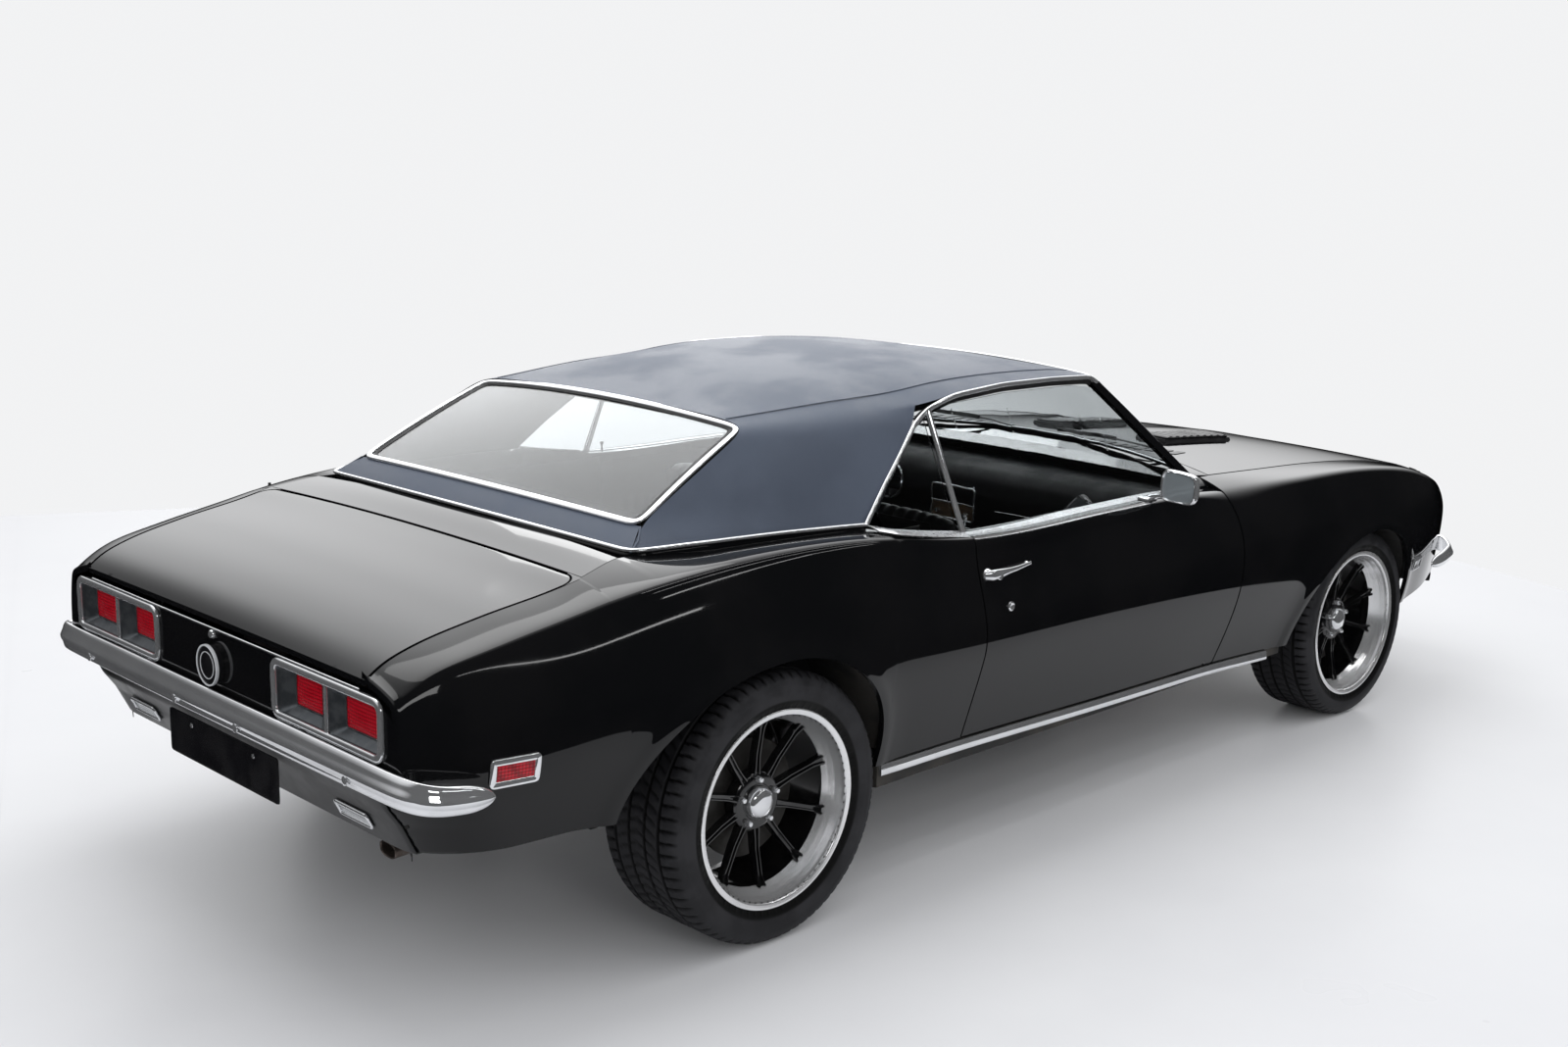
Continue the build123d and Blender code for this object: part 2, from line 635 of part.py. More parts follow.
def cowl():
    """Cowl top, firewall, hinge posts with the door and hood hinges, and windshield posts."""
    half = hood_half(FENDER_REAR_X) + PANEL_GAP - SEAT_GAP
    def ring(x):
        inner = min(half, hood_half(x) + PANEL_GAP - SEAT_GAP)
        return crowned_ring(COWL, x, inner, 16)
    top = cut(section_loft([530, 600, 665, 720, 790, 850], ring), bow_ring())
    firewall = block(FIREWALL_X, FIREWALL_X + FIREWALL_SHEET, 3 - CABIN_HALF, CABIN_HALF - 3, FLOOR_Z, 905)
    tunnel = section_loft([500, 700], lambda x: tunnel_outline(TUNNEL_HALF, TUNNEL_TOP))
    body = fuse(firewall, top)
    stations = [FENDER_REAR_X, 618, 640, 665]
    post = section_loft(stations, lambda x: inward(side_line(x, 370, 830, 6), fender_skin(x) + 8
                        + (24 if x < 630 else 0)) + [(690, 830), (690, 370)])
    pieces = [post, windshield_post()] + [door_hinge(z) for z in DOOR_HINGE_HEIGHTS]
    for piece in pieces:
        left, right = both(Compound(solids_of(piece)))
        body = fuse(body, left, right)
    for y in (-HOOD_STRAP_Y, HOOD_STRAP_Y):
        pin = Pos(HOOD_HINGE_X, y, HOOD_HINGE_Z) * Rot(90, 0, 0) * Cylinder(HINGE_PIN_R, 44)
        clear = block(HOOD_HINGE_X - 22, HOOD_REAR_X + 200, y - 14, y + 14, 840, 960)
        body = fuse(Compound(cut(body, clear)), pin)
        for side in (-1, 1):
            ear_y = y + side * 19
            ear = side_profile([(605, 850), (605, 896), (636, 896), (640, 850)], ear_y - 4, ear_y + 4)
            body = fuse(body, ear)
    return cut(body, tunnel)


def bow_ring():
    """Everything ahead of the hood's rear edge, less the shut line."""
    return block(500, 1100, -900, 900, 700, 1100) - bow_cylinder(-PANEL_GAP - 1)


# ---------------------------------------------------------------- tail and nose
TAIL_X = -2310.0
LAMP_IN, LAMP_OUT = 276.0, 728.0
LAMP_LOW, LAMP_HIGH = 634.0, 768.0
BEZEL_RIM = 13.0
LAMP_DIVIDER = 12.0
TAIL_SHEET = 16.0


def tail_panel():
    """Panel across the tail between the quarter panels, open behind each lamp."""
    line = inward(side_line(TAIL_X, 560, 740, 5), SKIN + SEAT_GAP)
    outline = [(line[0][0], 560)] + line[1:] + [(LID_HALF_REAR + 20, LID_PANEL_TOP)]
    outline += [(-y, z) for y, z in reversed(outline)]
    face = Face(Wire.make_polygon([Vector(TAIL_X, y, z) for y, z in outline], close=True))
    plate = Solid.extrude(face, Vector(TAIL_SHEET, 0, 0))
    tools = []
    for side in (-1, 1):
        a, b = sorted((side * (LAMP_IN + BEZEL_RIM), side * (LAMP_OUT - BEZEL_RIM)))
        tools.append(block(TAIL_X - 1, TAIL_X + TAIL_SHEET + 1, a, b, LAMP_LOW + BEZEL_RIM,
                           LAMP_HIGH - BEZEL_RIM))
    return cut(plate, *tools)


def tail_lamp_bezels():
    """Bright frames with a divider, standing on the tail panel."""
    middle = (LAMP_IN + LAMP_OUT) / 2
    frame = block(TAIL_X - SEAT_GAP - 8, TAIL_X - SEAT_GAP, LAMP_IN, LAMP_OUT, LAMP_LOW, LAMP_HIGH)
    windows = [
        block(TAIL_X - 20, TAIL_X + 20, LAMP_IN + BEZEL_RIM, middle - LAMP_DIVIDER / 2,
              LAMP_LOW + BEZEL_RIM, LAMP_HIGH - BEZEL_RIM),
        block(TAIL_X - 20, TAIL_X + 20, middle + LAMP_DIVIDER / 2, LAMP_OUT - BEZEL_RIM,
              LAMP_LOW + BEZEL_RIM, LAMP_HIGH - BEZEL_RIM),
    ]
    return both(Compound(cut(frame, *windows)))


def tail_lamps():
    """Lamp boxes set into the tail panel's openings, left side."""
    a, b = LAMP_IN + BEZEL_RIM + SEAT_GAP, LAMP_OUT - BEZEL_RIM - SEAT_GAP
    low, high = LAMP_LOW + BEZEL_RIM + SEAT_GAP, LAMP_HIGH - BEZEL_RIM - SEAT_GAP
    return both(block(TAIL_X + 6, TAIL_X + 60, a, b, low, high))


def rear_valance():
    """Panel under the tail panel, curving in behind the bumper."""
    rings = []
    for y in (-745, -400, 400, 745):
        rings.append([(TAIL_X, y, 560 - SEAT_GAP), (TAIL_X + 52, y, 470), (TAIL_X + 90, y, 398),
                      (TAIL_X + 102, y, 398), (TAIL_X + 64, y, 472),
                      (TAIL_X + TAIL_SHEET, y, 560 - SEAT_GAP)])
    bracket = block(TAIL_X + 12 + SEAT_GAP, TAIL_X + 50, -60, 60, 494, 510)
    return fuse(ring_loft(rings), bracket)


def valance_x(z):
    """Outer face of the rear valance below its bend."""
    return TAIL_X + 52 + 38 * (470 - z) / 72


Bend = namedtuple("Bend", "x y low high")
REAR_BUMPER = [Bend(-2345, 0, 560, 634), Bend(-2345, 420, 560, 634), Bend(-2343, 700, 560, 632),
               Bend(-2338, 800, 558, 630),
               Bend(-2320, 856, 554, 624), Bend(-2275, 884, 548, 614), Bend(-2205, 892, 543, 604),
               Bend(-2143, 894, 540, 594)]
FRONT_BUMPER = [Bend(2345, 0, 432, 500), Bend(2340, 330, 432, 500), Bend(2312, 600, 432, 498),
                Bend(2245, 770, 432, 494),
                Bend(2140, 848, 432, 488), Bend(2020, 880, 433, 482), Bend(1900, 896, 435, 476)]
BUMPER_CROWN = 12.0
BUMPER_THICK = 14.0


def bumper(bends):
    """Crowned bar that follows a table of bends and its mirror image."""
    path = [Bend(b.x, -b.y, b.low, b.high) for b in reversed(bends[1:])] + list(bends)
    rings = []
    for i, (x, y, low, high) in enumerate(path):
        a, b = path[max(i - 1, 0)], path[min(i + 1, len(path) - 1)]
        dx, dy = b.x - a.x, b.y - a.y
        length = math.hypot(dx, dy)
        nx, ny = dy / length, -dx / length
        if nx * x < 0:
            nx, ny = -nx, -ny
        mid = (low + high) / 2
        third = (high - low) / 4
        section = [(-BUMPER_CROWN, low), (-2, mid - third), (0, mid), (-2, mid + third),
                   (-BUMPER_CROWN, high),
                   (-BUMPER_CROWN - BUMPER_THICK, high - 4), (-BUMPER_CROWN - BUMPER_THICK, low + 4)]
        rings.append([(x + nx * d, y + ny * d, z) for d, z in section])
    return ring_loft(rings)


def rear_bumper():
    brackets = [block(-2325, TAIL_X - SEAT_GAP, y - 30, y + 30, 575, 618) for y in (-360, 360)]
    return fuse(bumper(REAR_BUMPER), *brackets)


def front_bumper():
    brackets = [block(2200, 2312, y - 30, y + 30, 452, 480) for y in (-330, 330)]
    return fuse(bumper(FRONT_BUMPER), *brackets)


GRILLE_LOW = 512.0
SUPPORT_FRONT_X = 2060.0


def grille():
    """Full-width dark grille with closed lamp doors at its ends."""
    face = block(2170, 2182, -640, 640, GRILLE_LOW, 706)
    struts = [block(SUPPORT_FRONT_X + SEAT_GAP, 2171, y - 12, y + 12, 655, 675) for y in (-500, 500)]
    bars = [block(2160, 2200, -400, 400, z - 3, z + 3) for z in (545, 580, 615, 650, 685)]
    doors = [block(2160, 2196, s * 415, s * 638, 525, 700) for s in (-1, 1)]
    return fuse(face, *bars, *doors, *struts)


def front_valance():
    """Panel under the front bumper, wrapped back to the fenders."""
    rings = []
    top = GRILLE_LOW - SEAT_GAP
    for y in (-640, -350, 350, 640):
        back = (abs(y) / 640) ** 2 * 40
        rings.append([(2200 - back, y, top), (2216 - back, y, 430), (2168 - back, y, 310),
                      (2156 - back, y, 310), (2203 - back, y, 430), (2188 - back, y, top)])
    return ring_loft(rings)


# ---------------------------------------------------------------- floor and running gear
EYE_R = 20.0
SPRING_IN, SPRING_OUT = 517.0, 573.0
SPRING_LEAF = 12.0
SPRING_FRONT = (-745.0, 300.0)
SPRING_REAR = (-1960.0, 405.0)
AXLE_TUBE_R = 38.0


def floor_strip(points, y0, y1):
    """Sheet on top of a side-view line of (x, z) points that runs rearwards."""
    upper = inward(points, -FLOOR_SHEET)[::-1]
    return side_profile(list(points) + upper, y0, y1)


REAR_FLOOR = [(-664, 418), (-1132, 418), (-1142, 548), (-1582, 548), (-1642, TRUNK_FLOOR_Z),
              (-2200, TRUNK_FLOOR_Z)]


def floor_pan():
    """Cabin floor, tunnel, rear seat pan, trunk floor, bulkhead, rockers, rails and wheelhouses."""
    front = floor_strip([(FIREWALL_X - SEAT_GAP, FLOOR_Z), (-640, FLOOR_Z), (-660, 418), (-905, 418)],
                        -CABIN_HALF, CABIN_HALF)
    middle = floor_strip([(-900, 418)] + REAR_FLOOR[1:5] + [(-1850, TRUNK_FLOOR_Z)], -AXLE_FLOOR_HALF,
                         AXLE_FLOOR_HALF)
    rear = floor_strip([(-1830, TRUNK_FLOOR_Z), (TAIL_X + 67, TRUNK_FLOOR_Z)], -CABIN_HALF, CABIN_HALF)
    bulkhead = block(-1262, -1252, -AXLE_FLOOR_HALF, AXLE_FLOOR_HALF, 555, 945)
    shelf = block(-1262, -1625, -640, 640, 935, 945)
    inner = section_loft([700, -1139], lambda x: tunnel_outline(TUNNEL_HALF - FLOOR_SHEET,
                                                                TUNNEL_TOP - FLOOR_SHEET - 3))
    outer = section_loft([FIREWALL_X - SEAT_GAP, -1127],
                         lambda x: [p if p[1] > 200 else (p[0], FLOOR_Z) for p in
                         tunnel_outline(TUNNEL_HALF, TUNNEL_TOP)])
    body = fuse(front, middle, rear, bulkhead, shelf, outer)
    outside = outside_of_skin(QUARTER_STATIONS[1:])
    inner_y = AXLE_FLOOR_HALF + SEAT_GAP
    slot = block(REAR_AXLE_X - 70, REAR_AXLE_X + 70, 500, inner_y + SHEET + 5, 300, 500)
    house = cut(Compound(wheelhouse(REAR_ARCH, inner_y, outside)), slot)
    spring_top = SPRING_REAR[1] + EYE_R + SEAT_GAP
    front_top = SPRING_FRONT[1] + EYE_R + SEAT_GAP
    rail = side_profile(
        [(-664, front_top), (-860, front_top), (-1060, 350), (-1140, 400), (-1210, 480), (-1560, 480),
         (-1660, spring_top),
         (-2200, spring_top)] + [(x, z - SEAT_GAP) for x, z in REAR_FLOOR[::-1]], SPRING_IN - 10,
         SPRING_OUT + 5)
    rocker = section_loft([-935, -880, -760, -607, -200, 200, 610, 990], lambda x: [
        (CABIN_HALF + SEAT_GAP, FLOOR_Z), (800, 278), (along(SIDE, "sill_y", x) - 3, 286),
        (along(SIDE, "sill_y", x) - 3,
         along(SIDE, "sill_z", x) - 2), (CABIN_HALF + SEAT_GAP, along(SIDE, "sill_z", x) - 2)])
    return cut(body, inner) + solids_of(both(Compound(house)) + both(rail) + both(rocker))


def rocker_moulding():
    """Bright strip along the rocker, left side."""
    def ring(x):
        y, z = along(SIDE, "sill_y", x) - 3 + SEAT_GAP, along(SIDE, "sill_z", x)
        return [(y, z - 36), (y + 9, z - 30), (y + 9, z - 8), (y, z - 3)]
    return section_loft([-930, -607, -200, 200, 610, 905], ring)


RAIL_IN, RAIL_OUT = 385.0, 455.0
LOWER_ARM_Z = 205.0
UPPER_ARM_Z = 452.0
ARM_HALF = 13.0


def control_arm(z, inner_z):
    """A-arm from the frame rail to the steering joint, left side."""
    x = FRONT_AXLE_X
    arm = None
    for side in (-1, 1):
        low = [(x + side * 135, RAIL_OUT - 3), (x + side * 165, RAIL_OUT - 3), (x + side * 22, KINGPIN_Y),
               (x - side * 4, KINGPIN_Y)]
        heights = [inner_z, inner_z, z, z]
        bottom = [(px, py, pz - ARM_HALF + 2) for (px, py), pz in zip(low, heights)]
        top = [(px, py, pz + ARM_HALF - 2) for (px, py), pz in zip(low, heights)]
        leg = ring_loft([bottom, top])
        arm = leg if arm is None else fuse(arm, leg)
    boss = Pos(x, KINGPIN_Y, z) * Cylinder(24, 2 * ARM_HALF)
    bore = Pos(x, KINGPIN_Y, z) * Cylinder(KINGPIN_R + PIN_GAP, 80)
    return cut(fuse(arm, boss), bore)


def front_subframe():
    """Front rails, crossmember, towers and control arms."""
    x = FRONT_AXLE_X
    rail = side_profile([(150, 205), (880, 205), (1040, 262), (1760, 262), (1880, 345), (2038, 345),
                         (2038, 410), (1860, 410),
                         (1720, 335), (1020, 335), (860, FLOOR_Z - SEAT_GAP), (150, FLOOR_Z - SEAT_GAP)],
                         RAIL_IN, RAIL_OUT)
    tower = block(x - 175, x + 175, RAIL_IN + 20, RAIL_OUT, 330, 470)
    body = fuse(block(x - 110, x + 90, -RAIL_OUT, RAIL_OUT, 215, 300),
                block(200, 250, -RAIL_IN - 5, RAIL_IN + 5, 212, FLOOR_Z - SEAT_GAP),
                block(200, 250, -60, 60, 212, GEARBOX_LOW - SEAT_GAP))
    pieces = [rail, tower] + [Compound(control_arm(LOWER_ARM_Z, 285)),
                              Compound(control_arm(UPPER_ARM_Z, 452))]
    for piece in pieces:
        left, right = both(piece)
        body = fuse(body, left, right)
    return body


def knuckle():
    """Upright with its steering pins, spindle, and brake backing plate, left side."""
    x, z = FRONT_AXLE_X, FRONT_TYRE_R
    post_low, post_high = LOWER_ARM_Z + ARM_HALF + 14, UPPER_ARM_Z - ARM_HALF - 1
    post = rod((x, KINGPIN_Y, post_low), (x, KINGPIN_Y, post_high), 22)
    pin_length = UPPER_ARM_Z - LOWER_ARM_Z + 2 * ARM_HALF
    pin = Pos(x, KINGPIN_Y, (LOWER_ARM_Z + UPPER_ARM_Z) / 2) * Cylinder(KINGPIN_R, pin_length)
    hub_y = FRONT_WHEEL_FACE_Y - HUB_DISH
    spindle = rod((x, KINGPIN_Y, z), (x, hub_y + 8, z), SPINDLE_R)
    caliper = block(x - 150, x - 95, 716, hub_y - 42, z - 50, z + 50)
    link = block(x - 110, x, 716, 730, z - 20, z + 20)
    return fuse(post, pin, spindle, caliper, link)


def inner_fenders():
    """Front wheelhouses and the radiator support between them."""
    outside = outside_of_skin([640, 665, 800, 1000, 1200, 1413, 1600, 1750, 1880, 1990, 2100])
    inner_y = RAIL_OUT + SEAT_GAP
    house = Compound(wheelhouse(FRONT_ARCH, inner_y, outside))
    window = block(FRONT_AXLE_X - 190, FRONT_AXLE_X + 190, inner_y - 5, inner_y + SHEET + 5, 400, 490)
    apron = block(950, 2046, inner_y, inner_y + SHEET, 412, 700)
    side = fuse(Compound(cut(fuse(house, apron), window)))
    support = block(2046, SUPPORT_FRONT_X, -632, 632, 345, 738) - block(2000, 2100, -300, 300, 420, 690)
    core = block(2050, 2056, -300, 300, 420, 690)
    body = fuse(support, core)
    left, right = both(Compound(solids_of(side)))
    body = fuse(body, left, right)
    hollow = side_profile(arch_outline(FRONT_ARCH, LINER_BACK), inner_y + SHEET, 920)
    return cut(body, hollow, hollow.mirror(Plane.XZ))


ENGINE_REAR_X = 715.0
GEARBOX_LOW = 250.0


def engine():
    """One block in the engine's place."""
    return block(ENGINE_REAR_X, ENGINE_REAR_X + 610, -235, 235, 300 + SEAT_GAP, 735)


def driveline():
    """Gearbox and propeller shaft in one piece."""
    bell = block(617, ENGINE_REAR_X - SEAT_GAP, -120, 120, 250, 410)
    box = block(60, 620, -100, 100, GEARBOX_LOW, 368)
    shaft = rod((62, 0, 320), (-1206, 0, 338), 36)
    return fuse(bell, box, shaft)


def rear_axle():
    """Axle tube, final drive, spindles and leaf springs."""
    x, z = REAR_AXLE_X, REAR_TYRE_R
    hub_y = REAR_WHEEL_FACE_Y - HUB_DISH
    tube = rod((x, -690, z), (x, 690, z), AXLE_TUBE_R)
    spindle = rod((x, -hub_y - 8, z), (x, hub_y + 8, z), SPINDLE_R)
    housing = Pos(x, 0, z) * Rot(0, 90, 0) * Cylinder(115, 150)
    nose = Pos(x + 98, 0, z) * Rot(0, 90, 0) * Cylinder(62, 50)
    body = fuse(tube, spindle, housing, nose)
    under = z - AXLE_TUBE_R + 2
    fx, fz = SPRING_FRONT
    rx, rz = SPRING_REAR
    line = [(fx, fz - 6), (-1040, 292), (x, under - SPRING_LEAF), (-1650, 330), (rx, rz - 6)]
    upper = [(px, pz + SPRING_LEAF) for px, pz in reversed(line)]
    for y0, y1 in ((SPRING_IN, SPRING_OUT), (-SPRING_OUT, -SPRING_IN)):
        leaf = side_profile(line + upper, y0, y1)
        body = fuse(body, leaf)
        for ex, ez in (SPRING_FRONT, SPRING_REAR):
            body = fuse(body, rod((ex, y0, ez), (ex, y1, ez), EYE_R))
    return body


def fuel_tank():
    return block(-2180, -1690, -400, 400, 300, TRUNK_FLOOR_Z - SEAT_GAP)


PIPE_R = 27.0
PIPE = [(1000, 263, 262), (760, 200, 180), (-640, 200, 180), (-1040, 340, 205), (-1205, 400, 440),
        (-1480, 400, 440),
        (-1680, 450, 310), (-2110, 495, 335)]
TIP_X = -2165.0


def exhaust():
    """Twin pipes with silencers and flattened tips."""
    parts = []
    for a, b in zip(PIPE, PIPE[1:]):
        parts += [rod(a, b, PIPE_R), Pos(*b) * Sphere(PIPE_R)]
    parts += [block(-560, -80, 130, 270, 135, 225)]
    pipe = fuse(*parts)
    tip = block(-2095, TIP_X, 435, 556, 317, 353) - block(-2130, TIP_X - 1, 438, 553, 320, 350)
    hanger = block(-600, -570, 180, 220, 200, FLOOR_Z - SEAT_GAP)
    return both(fuse(pipe, tip, hanger))


Rim = namedtuple("Rim", "face width tyre_r tyre_w")
REAR_RIM = Rim(REAR_WHEEL_FACE_Y, REAR_RIM_W, REAR_TYRE_R, REAR_TYRE_W)
FRONT_RIM = Rim(FRONT_WHEEL_FACE_Y, FRONT_RIM_W, FRONT_TYRE_R, FRONT_TYRE_W)


def turned(profile, x, z):
    """Solid turned about the wheel axis through (x, z), from (y, radius) points."""
    face = Face(Wire.make_polygon([Vector(0, y, r) for y, r in profile], close=True))
    return Pos(x, 0, z) * Solid.revolve(face, 360, Axis.Y)


def wheel(rim, x):
    """Stepped dished rim with slim spokes, hub and centre cap, left side."""
    f, b, z = rim.face, rim.face - rim.width, rim.tyre_r
    barrel = turned([
        (f, RIM_R), (f - 7, RIM_R), (f - 9, BEAD_R), (f - 42, BEAD_R), (f - 58, 216), (b + 62, 216),
        (b + 46, BEAD_R),
        (b + 9, BEAD_R), (b + 7, RIM_R), (b, RIM_R), (b, 226), (b + 50, 208), (f - 60, 206), (f - 44, 214),
        (f - 40, 224),
        (f - 14, 228), (f - 10, 239), (f, 241)], x, z)
    hub_y = f - HUB_DISH
    bore = SPINDLE_R + PIN_GAP
    body = turned([(hub_y - 36, bore), (hub_y + 9, bore), (hub_y + 9, 0), (hub_y + 22, 0), (hub_y + 22, 36),
                   (hub_y, 42),
                   (hub_y, 74), (hub_y - 18, 80), (hub_y - 18, 150), (hub_y - 36, 150)], x, z)
    for k in range(SPOKES):
        angle = 2 * math.pi * (k + 0.5) / SPOKES
        ring_in = [(hub_y - 24, -10), (hub_y - 24, 10), (hub_y - 2, 8), (hub_y - 2, -8)]
        ring_out = [(f - 78, -9), (f - 78, 9), (f - 58, 6), (f - 58, -6)]
        rings = []
        for radius, ring in ((66, ring_in), (209, ring_out)):
            rings.append([(x + radius * math.cos(angle) - w * math.sin(angle), y,
                           z + radius * math.sin(angle) + w * math.cos(angle)) for y, w in ring])
        body = fuse(body, ring_loft(rings))
    return fuse(body, barrel)


def tyre(rim, x):
    """Tyre on its rim, with grooves around the tread, left side."""
    centre, half, bead = rim.face - rim.width / 2, rim.tyre_w / 2, rim.width / 2 - 9 - SEAT_GAP
    r = rim.tyre_r
    side = [(bead, BEAD_R + SEAT_GAP), (bead, RIM_R + 4), (half - 6, RIM_R + 16), (half, (RIM_R + r) / 2),
            (half - 6, r - 16),
            (half - 20, r - 4), (half - 34, r)]
    tread = []
    for y in (half * 0.5, 0.0, -half * 0.5):
        tread += [(y + 5, r), (y + 5, r - 7), (y - 5, r - 7), (y - 5, r)]
    profile = side + tread + [(-y, radius) for y, radius in reversed(side)]
    return turned([(centre + y, radius) for y, radius in profile], x, rim.tyre_r)


# ---------------------------------------------------------------- cabin
def front_seat():
    cushion = side_profile([(-330, 300), (-330, 400), (170, 430), (190, 395), (180, 300)], 140, 620)
    back = side_profile([(-318, 431), (-445, 880), (-400, 905), (-345, 890), (-205, 470), (-212, 431)], 150,
                        610)
    feet = block(-260, 120, 180, 580, FLOOR_Z + FLOOR_SHEET + SEAT_GAP, 301)
    hinge = block(-320, -215, 200, 560, 395, 440)
    return fuse(cushion, back, feet, hinge)


def rear_seat():
    pan = TUNNEL_TOP + SEAT_GAP
    cushion = side_profile([(-1120, pan), (-1120, 520), (-640, 545), (-605, 510), (-605, pan)], -575, 575)
    back = side_profile([(-1130, 561), (-1248, 620), (-1251, 930), (-1150, 930), (-990, 561)], -575, 575)
    joint = block(-1120, -1010, -560, 560, 500, 570)
    return fuse(cushion, back, joint)


STEERING_CENTRE = Vector(120, 375, 755)
STEERING_FOOT = Vector(FIREWALL_X - SEAT_GAP, 375, 545)
STEERING_R = 185.0
COLUMN_SHAFT_R = 9.0


def steering_plane(offset):
    """Plane across the column, offset towards the driver from the wheel's centre."""
    direction = (STEERING_CENTRE - STEERING_FOOT).normalized()
    return Plane(STEERING_CENTRE + direction * offset, z_dir=direction)


def steering_wheel():
    plane = steering_plane(0)
    rim = plane * Torus(STEERING_R, 11)
    body = fuse(rim, plane * Pos(0, 0, -12) * Cylinder(36, 40))
    for angle in (0, 120, 240):
        spoke = plane * Rot(0, 0, angle) * Pos(STEERING_R / 2 + 8, 0, -4) * Box(STEERING_R - 10, 26, 7)
        body = fuse(body, spoke)
    bore = plane * Pos(0, 0, -22) * Cylinder(COLUMN_SHAFT_R + PIN_GAP, 30)
    return cut(body, bore)


def dashboard():
    """Dash with the steering column."""
    dash = side_profile([(340, 655), (300, 780), (345, 858), (420, 872), (528, 874),
                         (FIREWALL_X - SEAT_GAP, 872),
                         (FIREWALL_X - SEAT_GAP, 660)], -735, 735)
    column_end = STEERING_CENTRE + (STEERING_FOOT - STEERING_CENTRE).normalized() * 34
    foot = STEERING_FOOT + (STEERING_CENTRE - STEERING_FOOT).normalized() * 12
    column = Solid.make_cylinder(24, (foot - column_end).length, Plane(column_end, z_dir=foot - column_end))
    shaft = Solid.make_cylinder(COLUMN_SHAFT_R, 60, Plane(column_end,
                                                          z_dir=STEERING_CENTRE - STEERING_FOOT))
    shaft = shaft & (steering_plane(-22) * Cylinder(40, 29))
    return fuse(dash, column, shaft)


def console():
    top = TUNNEL_TOP + SEAT_GAP
    return side_profile([(-380, top), (-380, 520), (-60, 530), (160, 545), (330, 640), (360, 640),
                         (420, top)], -95, 95)


# ---------------------------------------------------------------- fittings
def seated(piece, *bodies):
    """Piece cut back to a body's surface and moved off it by the seat clearance, left side."""
    return Pos(0, SEAT_GAP, 0) * Compound(cut(piece, *bodies))


def door_handle(door_body):
    bar = section_loft([-590, -570, -420, -400], lambda x: [
        (side_y(x, 800) - 12, 788), (side_y(x, 800) + (20 if -580 < x < -410 else 8), 790),
        (side_y(x, 800) + (20 if -580 < x < -410 else 8), 812), (side_y(x, 800) - 12, 814)])
    return seated(bar, *door_body)


def mirror(door_body):
    """Rectangular mirror on a stalk, on the door's top edge, left side."""
    foot_z = along(SIDE, "crease_z", 200) + SEAT_GAP
    foot = block(178, 240, 806, 844, foot_z - 4, foot_z + 14)
    stalk = rod((205, 825, foot_z + 6), (205, 900, 935), 9)
    head = block(190, 222, 882, 1007, 903, 998)
    return Pos(0, 0, SEAT_GAP) * Compound(cut(fuse(foot, stalk, head), *door_body))


def marker_lamps(quarter, fender):
    rear = section_loft([-2127, -2022], lambda x: [
        (side_y(x, 600) - 12, 572), (side_y(x, 600) + 7, 572), (side_y(x, 600) + 7, 630),
        (side_y(x, 600) - 12, 630)])
    front = section_loft([1770, 1850], lambda x: [
        (side_y(x, 472) - 12, 455), (side_y(x, 472) + 9, 455), (side_y(x, 472) + 9, 490),
        (side_y(x, 472) - 12, 490)])
    pieces = [seated(rear, *quarter), seated(front, *fender)]
    reversing = side_profile([(valance_x(z) - d, z) for z,
                              d in ((466, 0.5), (466, 10), (430, 10), (430, 0.5))], 436, 568)
    turn = max(cut(block(2120, 2206, 420, 560, 360, 420), front_valance()), key=lambda s: s.center().X)
    return pieces, reversing, Pos(SEAT_GAP, 0, 0) * turn


def licence_plate():
    return block(TAIL_X + 8, TAIL_X + 12, -262, 262, 412, 522)


